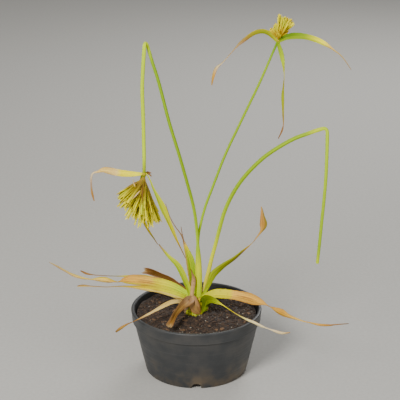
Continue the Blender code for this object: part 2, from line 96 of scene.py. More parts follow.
# %% Turn a drawn point into a place
def drawn(point):
    """The place of an (across, rise, away) point of the front view."""
    across, rise, away = (value * MM for value in point[:3])
    rise -= AIM_RISE
    depth = (away - rise * SINE) / (COSINE + rise * SINE / EYE_DISTANCE)
    growth = 1 + depth / EYE_DISTANCE
    height = AIM.z + rise * growth * COSINE - depth * SINE
    return Vector((AIM_ACROSS + (across - AIM_ACROSS) * growth, away, height))


print("the soil's middle:", [round(v, 4) for v in drawn((0, 0, 0))])

# %% [markdown]
# ## Camera, floor and light
#
# The camera stands where the eye of the front view is. The floor is one wide pale plane, and three large
# area lights give a soft studio light: a key from the upper left, a fill from the right, and a low one
# from behind that separates the thin stems from the floor.

# %% Set the camera
SENSOR_WIDTH = 36
LENS = 133.9  # from the eye's distance this takes in a view about 0.43 metres wide
bpy.ops.object.camera_add(location=AIM + TO_EYE * EYE_DISTANCE)
camera = bpy.context.object
camera.rotation_euler = TO_EYE.to_track_quat("Z", "Y").to_euler()
camera.data.sensor_width = SENSOR_WIDTH
camera.data.lens = LENS
camera.data.clip_end = 30
bpy.context.scene.camera = camera
print("camera at", [round(v, 3) for v in camera.location])


# %% Set the lights
def softbox(name, place, size, power, colour=(1, 1, 1)):
    """A round area light that shines at the middle of the plant."""
    bpy.ops.object.light_add(type="AREA", location=place)
    light = bpy.context.object
    light.name = name
    light.data.shape = "DISK"
    light.data.size = size
    light.data.energy = power
    light.data.color = colour
    light.rotation_euler = (Vector(place) - Vector((0, 0, 0.18))).to_track_quat("Z", "Y").to_euler()
    return light


softbox("key", (-0.7, -1.4, 1.3), 0.6, 45, (1, 0.985, 0.95))
softbox("fill", (1.3, -1.1, 0.7), 1.2, 8)
softbox("back", (0.5, 1.4, 1.2), 0.9, 16)
world = bpy.context.scene.world or bpy.data.worlds.new("studio")
bpy.context.scene.world = world
world.use_nodes = True
world.node_tree.nodes["Background"].inputs["Color"].default_value = (1, 0.99, 0.97, 1)
world.node_tree.nodes["Background"].inputs["Strength"].default_value = 0.3


# %% Mix a paint
RICHNESS = 1.65  # the film look of the render greys colours, so the paints are mixed this much richer


def paint(red, green, blue, richness=RICHNESS):
    """A colour picked from 0 to 255, as the linear values that a shader takes, made a little richer."""
    values = []
    for value in (red, green, blue):
        share = value / 255
        values.append(share / 12.92 if share <= 0.04045 else ((share + 0.055) / 1.055) ** 2.4)
    grey = 0.2126 * values[0] + 0.7152 * values[1] + 0.0722 * values[2]
    return (*[min(1, max(0.004, grey + (value - grey) * richness)) for value in values], 1)


print("a straw paint:", [round(v, 3) for v in paint(216, 184, 124)])


# %% Small helpers for nodes
def add_node(tree, kind, values=None, **settings):
    """Adds a node; a value is linked if it is another node's socket, and set if it is a number."""
    node = tree.nodes.new(kind)
    for name, value in settings.items():
        setattr(node, name, value)
    for name, value in (values or {}).items():
        if isinstance(value, bpy.types.NodeSocket):
            tree.links.new(value, node.inputs[name])
        else:
            node.inputs[name].default_value = value
    return node


def coordinates(tree, kind="Object"):
    """The socket of object or UV coordinates."""
    return add_node(tree, "ShaderNodeTexCoord").outputs[kind]


def calculated(tree, operation, first, second=0.0):
    """The result of a sum, product or other operation on two numbers or sockets."""
    return add_node(tree, "ShaderNodeMath", {0: first, 1: second}, operation=operation).outputs[0]


def stretched(tree, vector, by):
    """A vector multiplied, axis by axis, by another."""
    return add_node(tree, "ShaderNodeVectorMath", {0: vector, 1: by}, operation="MULTIPLY").outputs[0]


def noisy(tree, vector, scale, detail=2.0):
    """The value of a noise texture."""
    node = add_node(tree, "ShaderNodeTexNoise", {"Vector": vector, "Scale": scale, "Detail": detail})
    return node.outputs["Fac"]


def mapped(tree, value, low, high, to_low=0.0, to_high=1.0, smooth=False):
    """A value's stretch from low to high, as one from to_low to to_high."""
    node = add_node(tree, "ShaderNodeMapRange", {"Value": value})
    node.interpolation_type = "SMOOTHSTEP" if smooth else "LINEAR"
    for name, number in (("From Min", low), ("From Max", high), ("To Min", to_low), ("To Max", to_high)):
        node.inputs[name].default_value = number
    return node.outputs["Result"]


print("node helpers ready")


# %% Helpers that mix colours
def mixed(tree, factor, first, second):
    """The colour socket of a Mix node; its colour inputs are numbers 6 and 7."""
    return add_node(
        tree, "ShaderNodeMix", {0: factor, 6: first, 7: second}, data_type="RGBA"
    ).outputs[2]


def ramped(tree, factor, stops):
    """The colour socket of a colour ramp through (place, colour) stops."""
    node = add_node(tree, "ShaderNodeValToRGB", {"Fac": factor})
    ramp = node.color_ramp
    while len(ramp.elements) < len(stops):
        ramp.elements.new(0.5)
    for element, (place, colour) in zip(ramp.elements, stops):
        element.position = place
        element.color = colour
    return node.outputs["Color"]


print("colour helpers ready")


# %% Helpers for materials and node groups
def new_material(name):
    """A node material, with its tree and its shader."""
    material = bpy.data.materials.new(name)
    material.use_nodes = True
    return material, material.node_tree, material.node_tree.nodes["Principled BSDF"]


def raised(tree, shader, height, strength, distance):
    """Raises the surface a little where a value is high."""
    values = {"Strength": strength, "Distance": distance, "Height": height}
    bump = add_node(tree, "ShaderNodeBump", values)
    tree.links.new(bump.outputs["Normal"], shader.inputs["Normal"])


def new_group(name, inputs, outputs):
    """A shader node group with named float inputs and outputs."""
    tree = bpy.data.node_groups.new(name, "ShaderNodeTree")
    for label, value in inputs.items():
        socket = tree.interface.new_socket(label, in_out="INPUT", socket_type="NodeSocketFloat")
        socket.default_value = value
    for label in outputs:
        tree.interface.new_socket(label, in_out="OUTPUT", socket_type="NodeSocketFloat")
    return tree, tree.nodes.new("NodeGroupInput"), tree.nodes.new("NodeGroupOutput")


def placed_group(tree, group, **values):
    """A node group placed in a material, with its own values."""
    return add_node(tree, "ShaderNodeGroup", values, node_tree=group)


print("material helpers ready")

# %% [markdown]
# ## Shared finishes
#
# Sedge leaves and stems are built of long parallel fibres, and they dry in streaks that follow them. Four
# node groups hold what all of them share: the fibres, a ragged place along the leaf for its colour zones,
# small brown flecks, and the streaks in which it dries. Each piece's mesh carries a UV map with u across
# and v along, so the fibres follow every bend. Groups only put out masks and values; the shader stays in
# each material.

# %% The fibre group
fibre_group, entry, out = new_group("long_fibres", {"Across": 14.0, "Along": 1.5}, ["Fibre", "Fine"])
density = add_node(
    fibre_group, "ShaderNodeCombineXYZ", {"X": entry.outputs["Across"], "Y": entry.outputs["Along"]}
)
fibre_uv = stretched(fibre_group, coordinates(fibre_group, "UV"), density.outputs[0])
broad = noisy(fibre_group, fibre_uv, 1.0)
narrow = noisy(fibre_group, fibre_uv, 3.1, detail=3.0)
fibre_group.links.new(mapped(fibre_group, broad, 0.28, 0.72), out.inputs["Fibre"])
fibre_group.links.new(mapped(fibre_group, narrow, 0.25, 0.75), out.inputs["Fine"])
print("group:", fibre_group.name, [s.name for s in fibre_group.interface.items_tree])

# %% The ragged place group
place_group, entry, out = new_group("ragged_place", {"Ragged": 0.06, "Streaks": 9.0}, ["Place", "Across"])
uv = coordinates(place_group, "UV")
parts = add_node(place_group, "ShaderNodeSeparateXYZ", {0: uv})
density = add_node(place_group, "ShaderNodeCombineXYZ", {"X": entry.outputs["Streaks"], "Y": 6.0})
wander = noisy(place_group, stretched(place_group, uv, density.outputs[0]), 1.0, detail=3.0)
shift = calculated(place_group, "SUBTRACT", wander, 0.5)
scaled = calculated(place_group, "MULTIPLY", shift, entry.outputs["Ragged"])
place_group.links.new(calculated(place_group, "ADD", parts.outputs["Y"], scaled), out.inputs["Place"])
place_group.links.new(parts.outputs["X"], out.inputs["Across"])
print("group:", place_group.name, [s.name for s in place_group.interface.items_tree])

# %% The fleck group
fleck_group, entry, out = new_group("brown_flecks", {"Scale": 400.0, "Amount": 0.3}, ["Mask"])
spot = noisy(fleck_group, coordinates(fleck_group), entry.outputs["Scale"], detail=3.0)
mask = calculated(fleck_group, "MULTIPLY", mapped(fleck_group, spot, 0.56, 0.72), entry.outputs["Amount"])
fleck_group.links.new(mask, out.inputs["Mask"])
print("group:", fleck_group.name, [s.name for s in fleck_group.interface.items_tree])

# %% The drying streak group
streak_group, entry, out = new_group("drying_streaks", {"Start": 0.3, "Amount": 0.5}, ["Mask", "Dry"])
uv = coordinates(streak_group, "UV")
dashes = noisy(streak_group, stretched(streak_group, uv, (22, 5, 1)), 1.0)
along = add_node(streak_group, "ShaderNodeSeparateXYZ", {0: uv}).outputs["Y"]
past = calculated(streak_group, "SUBTRACT", along, entry.outputs["Start"])
dry = mapped(streak_group, past, -0.02, 0.04)
both = calculated(streak_group, "MULTIPLY", dry, mapped(streak_group, dashes, 0.52, 0.62))
mask = calculated(streak_group, "MULTIPLY", both, entry.outputs["Amount"])
streak_group.links.new(mask, out.inputs["Mask"])
streak_group.links.new(dry, out.inputs["Dry"])
print("group:", streak_group.name, [s.name for s in streak_group.interface.items_tree])

# %% The plant's paints
FRESH = paint(148, 166, 10)
LIME = paint(188, 202, 36)
PALE_STEM = paint(174, 194, 66)
LEAF_GREEN = paint(126, 156, 18)
DEEP_GREEN = paint(100, 116, 30, 1.2)
OLIVE = paint(124, 130, 8)
YELLOW = paint(210, 204, 46)
BUTTER = paint(232, 222, 128)
STRAW = paint(230, 202, 142, 1.35)
TAN = paint(214, 172, 112, 1.35)
TOAST = paint(168, 124, 68, 1.15)
BROWN = paint(112, 80, 44, 1.1)
DARK_BROWN = paint(70, 48, 26, 1.1)
MAUVE = paint(172, 144, 120, 1.1)
SHEATH = paint(200, 202, 120)
BONE = paint(222, 208, 176, 1.1)
STREAK = paint(146, 98, 58, 1.15)
print("fresh green in linear values:", [round(v, 3) for v in FRESH])


# %% The plant finish
def plant_finish(name, zones, across=14, along=1.5, ragged=0.06, flecks=0.3, rough=(0.42, 0.72),
                 margin=None, relief=0.25, dry=(0.4, 0.5), midrib=0.25):
    """A leaf or stem material: colour zones along v, fibres, flecks, drying streaks and a pale midrib.

    margin is (colour, u where it ends, u where it is full, strength), for a band along one margin, and
    dry is the v where the drying streaks start and how strong they are.
    """
    material, tree, shader = new_material(name)
    place = placed_group(tree, place_group, Ragged=ragged)
    fibres = placed_group(tree, fibre_group, Across=across, Along=along)
    spots = placed_group(tree, fleck_group, Amount=flecks)
    streaks = placed_group(tree, streak_group, Start=dry[0], Amount=dry[1])
    colour = ramped(tree, place.outputs["Place"], zones)
    if margin:
        band, start, full, strength = margin
        share = mapped(tree, place.outputs["Across"], start, full, 0, strength, smooth=True)
        colour = mixed(tree, share, colour, band)
    from_keel = calculated(tree, "ABSOLUTE", calculated(tree, "SUBTRACT", place.outputs["Across"], 0.5))
    if midrib:
        rib = mapped(tree, from_keel, 0.015, 0.06, midrib, 0, smooth=True)
        colour = mixed(tree, rib, colour, BUTTER)
    colour = mixed(tree, streaks.outputs["Mask"], colour, STREAK)
    rim = mapped(tree, from_keel, 0.4, 0.48, 0, 0.6)
    colour = mixed(tree, calculated(tree, "MULTIPLY", rim, streaks.outputs["Dry"]), colour, STREAK)
    value = mapped(tree, fibres.outputs["Fibre"], 0, 1, 0.74, 1.18)
    tone = add_node(tree, "ShaderNodeHueSaturation", {"Color": colour, "Value": value})
    fine = mapped(tree, fibres.outputs["Fine"], 0.55, 1, 0, 0.07)
    colour = mixed(tree, fine, tone.outputs["Color"], BUTTER)
    colour = mixed(tree, spots.outputs["Mask"], colour, BROWN)
    tree.links.new(colour, shader.inputs["Base Color"])
    tree.links.new(mapped(tree, place.outputs["Place"], 0.2, 0.9, *rough), shader.inputs["Roughness"])
    shader.inputs["Specular IOR Level"].default_value = 0.08
    raised(tree, shader, fibres.outputs["Fine"], relief, 0.3 * MM)
    return material


print("plant finish ready")


# %% Finish a piece
def finished(piece, material, node):
    """Gives a piece its material, hides the solid it stands for and lets it ride on the root body."""
    piece.data.materials.clear()
    piece.data.materials.append(material)
    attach(piece, "root")
    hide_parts(node)
    low, high = (Vector(corner) for corner in (piece.bound_box[0], piece.bound_box[6]))
    print(piece.name, len(piece.data.polygons), "faces,", [round(v * 1000) for v in high - low], "mm")
    return piece


print("finished() is ready")

# %% [markdown]
# ## Laying a strip along a route
#
# Leaves, bracts and stems share one way of making. A flat grid is the start, because it brings a clean UV
# map: u across and v along. Its rows are then laid at even distances along a smooth curve through the
# drawn points, and its columns take the piece's cross-section there: a keeled, curling strap for a leaf,
# or a closed three-sided tube for a stem.


# %% Follow a route smoothly
def smooth_value(values, place):
    """A Catmull-Rom value at place, which counts the listed values from 0."""
    index = min(int(place), len(values) - 2)
    share = place - index
    before, start = values[max(index - 1, 0)], values[index]
    end, after = values[index + 1], values[min(index + 2, len(values) - 1)]
    square, cube = share**2, share**3
    return (
        start * (2 * cube - 3 * square + 1)
        + (end - before) / 2 * (cube - 2 * square + share)
        + end * (3 * square - 2 * cube)
        + (after - start) / 2 * (cube - square)
    )


def even_places(points, count):
    """count + 1 places along a route, in its points' own count, at even distances."""
    fine = [k / 16 for k in range(16 * (len(points) - 1) + 1)]
    line = [smooth_value(points, place) for place in fine]
    reach = [0.0]
    for near, far in zip(line, line[1:]):
        reach.append(reach[-1] + (far - near).length)
    places, step = [], 0
    for k in range(count + 1):
        wanted = reach[-1] * k / count
        while step < len(reach) - 2 and reach[step + 1] < wanted:
            step += 1
        share = (wanted - reach[step]) / (reach[step + 1] - reach[step])
        places.append(fine[step] + min(share, 1) / 16)
    return places


def stations(route, count):
    """For each row: its place, the directions along, across and upward, and the route's other values."""
    points = [drawn(point) for point in route]
    turn = 1 if route[-1][0] > route[0][0] else -1
    rows = []
    for place in even_places(points, count):
        ahead = smooth_value(points, min(place + 0.02, len(points) - 1))
        behind = smooth_value(points, max(place - 0.02, 0))
        along = (ahead - behind).normalized()
        side = along.cross(TO_EYE).normalized()
        face = side.cross(along)
        values = [smooth_value([point[k] for point in route], place) for k in range(3, len(route[0]))]
        roll = turn * math.radians(values[1]) if len(values) > 1 else 0
        across = side * math.cos(roll) + face * math.sin(roll)
        upward = face * math.cos(roll) - side * math.sin(roll)
        rows.append((smooth_value(points, place), along, across, upward, values))
    return rows


straight = [Vector((0, 0, 0)), Vector((1, 0, 0))]
print("even places of a straight route:", [round(place, 2) for place in even_places(straight, 4)])


# %% Lay a grid by its rows and columns
def laid_grid(name, rows, columns, place):
    """Adds a grid and puts each point where place(row, share across) says."""
    bpy.ops.object.select_all(action="DESELECT")
    bpy.ops.mesh.primitive_grid_add(x_subdivisions=columns, y_subdivisions=rows, size=1)
    piece = bpy.context.object
    piece.name = piece.data.name = name
    for vertex in piece.data.vertices:
        vertex.co = place(round((vertex.co.y + 0.5) * rows), vertex.co.x + 0.5)
    return piece


print("grid helper ready")


# %% Helpers that work on a finished shape
def select_only(piece):
    """Selects one piece alone and makes it active."""
    bpy.ops.object.select_all(action="DESELECT")
    bpy.context.view_layer.objects.active = piece
    piece.select_set(True)


def apply_modifier(piece, kind, **settings):
    """Adds a modifier to a piece, sets it and applies it."""
    select_only(piece)
    bpy.ops.object.modifier_add(type=kind)
    modifier = piece.modifiers[-1]
    for setting, value in settings.items():
        setattr(modifier, setting, value)
    bpy.ops.object.modifier_apply(modifier=modifier.name)
    return piece


def tidy_mesh(piece, merge=0.00001, holes=False, angle=50):
    """Merges doubled points, closes holes if asked, turns the faces outwards and smooths the shading."""
    select_only(piece)
    bpy.ops.object.mode_set(mode="EDIT")
    bpy.ops.mesh.select_all(action="SELECT")
    bpy.ops.mesh.remove_doubles(threshold=merge)
    if holes:
        bpy.ops.mesh.fill_holes(sides=0)
        bpy.ops.mesh.select_all(action="SELECT")
    bpy.ops.mesh.normals_make_consistent(inside=False)
    bpy.ops.object.mode_set(mode="OBJECT")
    bpy.ops.object.shade_smooth_by_angle(angle=math.radians(angle))
    return piece


def joined(name, pieces):
    """Joins pieces into the first one."""
    bpy.ops.object.select_all(action="DESELECT")
    for piece in pieces:
        piece.select_set(True)
    bpy.context.view_layer.objects.active = pieces[0]
    if len(pieces) > 1:
        bpy.ops.object.join()
    whole = bpy.context.object
    whole.name = whole.data.name = name
    return whole


def applied(piece):
    """Puts a piece's own place, turn and size into its mesh."""
    select_only(piece)
    bpy.ops.object.transform_apply(location=True, rotation=True, scale=True)
    return piece


def copied(pattern, name):
    """A copy of a piece, with its own mesh."""
    copy = bpy.data.objects.new(name, pattern.data.copy())
    bpy.context.collection.objects.link(copy)
    return copy


print("shape helpers ready")


# %% A leaf blade
RIPPLE_LENGTH = 9  # millimetres; a margin's ripple repeats after about pi times this


def between(pair, share):
    """The value at a share of the way from the pair's first to its second."""
    return pair[0] + (pair[1] - pair[0]) * share


def blade(name, route, rows=110, columns=10, fold=(0.35, 0.3), curl=(0.25, 0.6), wave=(0.0, 0.5),
          thickness=0.3, fray=0.0, cup=1, pleat=0.07, span=(0, 1)):
    """A keeled strap along (across, rise, away, width, roll) points.

    fold and curl are how far its halves rise and its margins roll in, and wave how far in millimetres its
    margins ripple, each from the base to the tip. pleat raises the two ribs between keel and margins.
    fray tears the end by up to that many millimetres, and span is the stretch of v that the strap takes.
    """
    rng = random.Random(name)
    line = stations(route, rows)
    waves = [(rng.uniform(0, 6.28), rng.uniform(0.8, 1.25)) for _ in range(2)]
    length = sum((b[0] - a[0]).length for a, b in zip(line, line[1:])) / MM
    torn = [rng.uniform(-1, 0.3) * fray * MM for _ in range(columns + 1)]

    def place(row, share):
        here, along, across, upward, values = line[row]
        run = row / rows
        edge = 2 * share - 1
        nibble = 1 + 0.05 * noise.noise(Vector((run * length / 3, edge, len(name))))
        half = max(values[0], 0.3) * MM / 2 * nibble
        angle = max(between(curl, run), 0.05)
        out = math.sin(edge * angle) / math.sin(min(angle, 1.5))
        lift = between(fold, run) * abs(edge) ** 1.25
        lift += (1 - math.cos(edge * angle)) / math.sin(min(angle, 1.5))
        lift += pleat * (1 - min(1, abs(abs(edge) - 0.5) / 0.34))
        phase, pace = waves[edge > 0]
        ripple = between(wave, run) * MM * abs(edge) ** 1.6
        ripple *= math.sin(run * length / RIPPLE_LENGTH * pace * 2 + phase) * min(1, half / (2 * MM))
        tear = torn[round(share * columns)] * max(0, (run - 0.9) * 10) ** 2
        return here + across * (out * half) + upward * (cup * lift * half + ripple) + along * tear

    piece = laid_grid(name, rows, columns, place)
    for corner in piece.data.uv_layers.active.data:
        corner.uv.y = between(span, corner.uv.y)
    tidy_mesh(piece)
    apply_modifier(piece, "SOLIDIFY", thickness=thickness * MM, offset=0)
    return tidy_mesh(piece, angle=60)


print("blade helper ready")


# %% A stem tube
def stem(name, route, rows=150, sides=18, deep=((0, 0.9), (1, 0.9)), ridge=0.09, holes=True):
    """A bluntly three-sided tube along (across, rise, away, diameter) points.

    deep lists (share of the length, depth as a share of the width), for the crushed folds.
    """
    line = stations(route, rows)

    def place(row, share):
        here, along, across, upward, values = line[row]
        run = row / rows
        low = max((pair for pair in deep if pair[0] <= run), key=lambda pair: pair[0])
        high = min((pair for pair in deep if pair[0] >= run), key=lambda pair: pair[0])
        gap = high[0] - low[0]
        depth = low[1] if gap == 0 else between((low[1], high[1]), (run - low[0]) / gap)
        turn = 2 * math.pi * share
        radius = values[0] * MM / 2 * (1 + ridge * math.cos(3 * turn + 0.5))
        return here + across * (math.cos(turn) * radius) + upward * (math.sin(turn) * radius * depth)

    piece = laid_grid(name, rows, sides, place)
    return tidy_mesh(piece, holes=holes, angle=40)


print("stem helper ready")

# %% [markdown]
# ## The floor
#
# The floor is a plain sheet of pale card, wide enough to fill the view from every side.

# %% Make the floor
bpy.ops.mesh.primitive_plane_add(size=9, location=(0, 0, 0))
floor = bpy.context.object
floor.name = "floor"
card, tree, shader = new_material("pale_card")
grain = noisy(tree, coordinates(tree), 260.0, detail=3.0)
pale = ramped(tree, grain, [(0.3, paint(178, 177, 174)), (0.7, paint(185, 184, 181))])
tree.links.new(pale, shader.inputs["Base Color"])
shader.inputs["Roughness"].default_value = 0.9
floor.data.materials.append(card)
floor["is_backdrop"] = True
print("floor:", [round(v, 1) for v in floor.dimensions])

# %% [markdown]
# ## The pot
#
# A trade pan is moulded in one piece from recycled dark plastic: thin tapering wall, a deeper rolled band
# at the rim for grip, and drain notches at the foot. It could be turned with a screw modifier. Here a
# circle is extruded ring by ring, as it would be by hand, because each ring can then be set to its own
# radius and height. A bevel rounds the moulded edges, and four rods cut the notches.


# %% Turn a body by extruding rings
def ringed(name, rings, sides=96):
    """A closed turned body through (radius, height) rings in metres; both end rings are filled."""
    bpy.ops.object.select_all(action="DESELECT")
    radius, height = rings[0]
    bpy.ops.mesh.primitive_circle_add(vertices=sides, radius=radius, fill_type="NGON", location=(0, 0, 0))
    piece = bpy.context.object
    piece.name = piece.data.name = name
    bpy.ops.object.mode_set(mode="EDIT")
    bpy.ops.mesh.select_all(action="SELECT")
    bpy.ops.transform.translate(value=(0, 0, height))
    for (near, low), (far, high) in zip(rings, rings[1:]):
        bpy.ops.mesh.extrude_region_move(TRANSFORM_OT_translate={"value": (0, 0, high - low)})
        bpy.ops.transform.resize(value=(far / near, far / near, 1))
    bpy.ops.object.mode_set(mode="OBJECT")
    return piece


slope = (RIM_RADIUS - RIM_STEP - FOOT_RADIUS) / (POT_HEIGHT - RIM_DEPTH)
rim_low = POT_HEIGHT - RIM_DEPTH
pot_rings = [
    (2 * MM, 0.0),
    (FOOT_RADIUS - 1.2 * MM, 0.0),
    (FOOT_RADIUS, 1.2 * MM),
    (FOOT_RADIUS + slope * 20 * MM, 20 * MM),
    (FOOT_RADIUS + slope * 40 * MM, 40 * MM),
    (FOOT_RADIUS + slope * rim_low, rim_low),
    (RIM_RADIUS - 1.2 * MM, rim_low),
    (RIM_RADIUS - 0.9 * MM, rim_low + 2 * MM),
    (RIM_RADIUS - 0.4 * MM, POT_HEIGHT - 3 * MM),
    (RIM_RADIUS, POT_HEIGHT - 1.8 * MM),
    (RIM_RADIUS, POT_HEIGHT - 0.8 * MM),
    (RIM_RADIUS - 0.8 * MM, POT_HEIGHT),
    (RIM_RADIUS - RIM_STEP - WALL + 2.6 * MM, POT_HEIGHT),
    (RIM_RADIUS - RIM_STEP - WALL + 1.6 * MM, POT_HEIGHT - 1 * MM),
    (FOOT_RADIUS - WALL + slope * rim_low, rim_low),
    (FOOT_RADIUS - WALL, WALL),
    (2 * MM, WALL),
]
pan = ringed("pan", pot_rings, sides=128)
print("pan:", len(pan.data.vertices), "points,", [round(v * 1000) for v in pan.dimensions], "mm")

# %% Cut the drain notches and round the edges
NOTCHES = 4
NOTCH_RADIUS = 5.5 * MM
NOTCH_LENGTH = 15 * MM
notch_reach = FOOT_RADIUS - 3 * MM
tidy_mesh(pan)
apply_modifier(
    pan, "BEVEL", width=0.35 * MM, segments=2, limit_method="ANGLE", angle_limit=math.radians(38)
)
for number in range(NOTCHES):
    turn = number * 2 * math.pi / NOTCHES
    place = (notch_reach * math.cos(turn), notch_reach * math.sin(turn), 1 * MM)
    bpy.ops.mesh.primitive_cylinder_add(
        vertices=32, radius=NOTCH_RADIUS, depth=NOTCH_LENGTH, location=place,
        rotation=(0, math.pi / 2, turn),
    )
    rod = bpy.context.object
    apply_modifier(pan, "BOOLEAN", object=rod, operation="DIFFERENCE", solver="EXACT")
    bpy.data.objects.remove(rod)
tidy_mesh(pan, angle=35)
print("pan with notches:", len(pan.data.polygons), "faces")

# %% [markdown]
# The plastic is charcoal and slightly mottled, with a faint sheen, fine scuffs that run around the pan as
# from stacking, and a film of dried silt that is thicker near the foot. All of it reads
# object coordinates, so it stays on the pan in every view.

# %% The pan's plastic
plastic, tree, shader = new_material("charcoal_plastic")
where = coordinates(tree)
mottle = noisy(tree, where, 55.0, detail=5.0)
pores = noisy(tree, where, 900.0)
around = add_node(tree, "ShaderNodeMapping", {"Vector": where, "Scale": (9, 9, 900)}).outputs[0]
scuffs = noisy(tree, around, 1.0, detail=4.0)
height = add_node(tree, "ShaderNodeSeparateXYZ", {0: where}).outputs["Z"]
base = ramped(tree, mottle, [(0.3, paint(46, 47, 48)), (0.7, paint(58, 59, 60))])
low_film = mapped(tree, height, 0.0, 0.03, 0.55, 0.06)
film = calculated(tree, "MULTIPLY", low_film, mapped(tree, mottle, 0.42, 0.66))
base = mixed(tree, film, base, paint(112, 98, 80))
base = mixed(tree, mapped(tree, scuffs, 0.6, 0.78, 0, 0.35), base, paint(92, 92, 92))
tree.links.new(base, shader.inputs["Base Color"])
tree.links.new(mapped(tree, scuffs, 0.3, 0.75, 0.42, 0.62), shader.inputs["Roughness"])
raised(tree, shader, pores, 0.12, 0.2 * MM)
finished(pan, plastic, "pot")

# %% [markdown]
# ## The compost
#
# Water-garden compost is dark, heavy and crumbly, with bits of bark and fine grit. The body is turned like
# the pan, with many rings on top so that its surface can be made uneven with noise. Loose crumbs are
# modelled as three rough pebbles of twenty faces and copied over the surface, pressed a little into it.


# %% Make the compost body
CLEARANCE = 0.35 * MM  # between the compost and the pan's inside
SURFACE_RINGS = 34


def ground_height(x, y):
    """The height of the compost's surface, a little heaped around the plant."""
    reach = math.hypot(x, y)
    ripple = noise.fractal(Vector((x * 60, y * 60, 3)), 1.0, 2.0, 4) * 1.5 * MM
    heap = 1.2 * MM * math.exp(-((reach / (20 * MM)) ** 2))
    rim_dip = -0.8 * MM * max(0, (reach - 58 * MM) / (8 * MM))
    return SOIL_TOP + ripple + heap + rim_dip


side_radius = FOOT_RADIUS - WALL - CLEARANCE
edge_radius = side_radius + slope * rim_low - CLEARANCE
soil_rings = [
    (2 * MM, WALL + CLEARANCE), (side_radius, WALL + CLEARANCE), (edge_radius, rim_low),
    (edge_radius, SOIL_TOP),
]
soil_rings += [(edge_radius * (1 - k / SURFACE_RINGS), SOIL_TOP) for k in range(1, SURFACE_RINGS)]
compost = ringed("compost", soil_rings, sides=120)
for vertex in compost.data.vertices:
    if vertex.co.z > SOIL_TOP - 0.1 * MM:
        vertex.co.z = ground_height(vertex.co.x, vertex.co.y)
tidy_mesh(compost, angle=80)
print("compost:", len(compost.data.polygons), "faces")


# %% Scatter the crumbs
def crumb_pattern(seed):
    """A rough flat pebble, about two millimetres across."""
    rng = random.Random(seed)
    bpy.ops.object.select_all(action="DESELECT")
    bpy.ops.mesh.primitive_ico_sphere_add(subdivisions=1, radius=1 * MM, location=(0, 0, 0))
    pattern = bpy.context.object
    for vertex in pattern.data.vertices:
        vertex.co *= rng.uniform(0.7, 1.25)
        vertex.co.z *= 0.72
    return pattern


def scattered(name, count, sizes, inner, outer, seed, tall=1.0):
    """Copies of three crumb patterns over the compost between two radii, joined as one piece."""
    rng = random.Random(seed)
    patterns = [crumb_pattern(seed + k) for k in range(3)]
    copies = []
    for number in range(count):
        reach = math.sqrt(rng.uniform(inner**2, outer**2))
        turn = rng.uniform(0, 2 * math.pi)
        x, y = reach * math.cos(turn), reach * math.sin(turn)
        size = rng.uniform(*sizes) * rng.uniform(0.6, 1)
        copy = copied(patterns[number % 3], name)
        copy.matrix_world = (
            Matrix.Translation((x, y, ground_height(x, y) + 0.15 * size * MM))
            @ Matrix.Rotation(rng.uniform(0, 6.28), 4, "Z")
            @ Matrix.Rotation(rng.uniform(-0.5, 0.5), 4, "X")
            @ Matrix.Diagonal((size * rng.uniform(0.8, 1.5), size, size * tall, 1))
        )
        copies.append(copy)
    for pattern in patterns:
        bpy.data.objects.remove(pattern)
    piece = applied(joined(name, copies))
    bpy.ops.object.shade_smooth_by_angle(angle=math.radians(30))
    return piece


crumbs = scattered("crumbs", 2600, (0.6, 1.9), 9 * MM, 64 * MM, seed=5)
bark = scattered("bark_bits", 110, (1.4, 2.9), 12 * MM, 61 * MM, seed=11, tall=0.35)
grit = scattered("grit", 90, (0.6, 1.3), 12 * MM, 62 * MM, seed=23)
print("loose pieces:", [(piece.name, len(piece.data.polygons)) for piece in (crumbs, bark, grit)])


# %% The compost finishes
def earth_finish(name, dark, light, scale, roughness, relief):
    """Small angular grains in cloudy shades from a dark to a light (place, colour) stop."""
    material, tree, shader = new_material(name)
    where = coordinates(tree)
    cells = add_node(tree, "ShaderNodeTexVoronoi", {"Vector": where, "Scale": scale})
    cloud = noisy(tree, where, scale * 0.4, detail=6.0)
    shade = add_node(tree, "ShaderNodeSeparateColor", {0: cells.outputs["Color"]}).outputs[0]
    grains = ramped(tree, calculated(tree, "MULTIPLY", shade, cloud), [dark, light])
    tree.links.new(grains, shader.inputs["Base Color"])
    tree.links.new(mapped(tree, cloud, 0.3, 0.7, *roughness), shader.inputs["Roughness"])
    raised(tree, shader, cloud, relief, 0.5 * MM)
    return material


earth_rows = [
    (compost, "peat", (0.1, paint(36, 28, 22, 1)), (0.5, paint(66, 51, 40, 1)), 420, (0.75, 0.98), 0.7),
    (crumbs, "crumb", (0.05, paint(40, 30, 24, 1)), (0.55, paint(84, 64, 48, 1)), 300, (0.8, 1), 0.6),
    (bark, "bark", (0.05, paint(74, 52, 36, 1)), (0.6, paint(132, 100, 68, 1)), 260, (0.7, 0.95), 0.5),
    (grit, "grit", (0.05, paint(104, 98, 88, 1)), (0.6, paint(172, 165, 150, 1)), 260, (0.6, 0.9), 0.3),
]
for piece, *look in earth_rows:
    finished(piece, earth_finish(*look), "soil")

# %% [markdown]
# ## The flower stems
#
# A culm is solid, smooth and bluntly three-sided. The left one has folded flat at its top, so its last
# third hangs straight down with the heavy head on it. The middle one is thin and still stands. The right
# one arches over, is kinked at its top and was cut off below. Where a stem folds, its pith is crushed: it
# gets flat and wide there. A curve with a bevel would keep it round, so each stem is a laid tube.

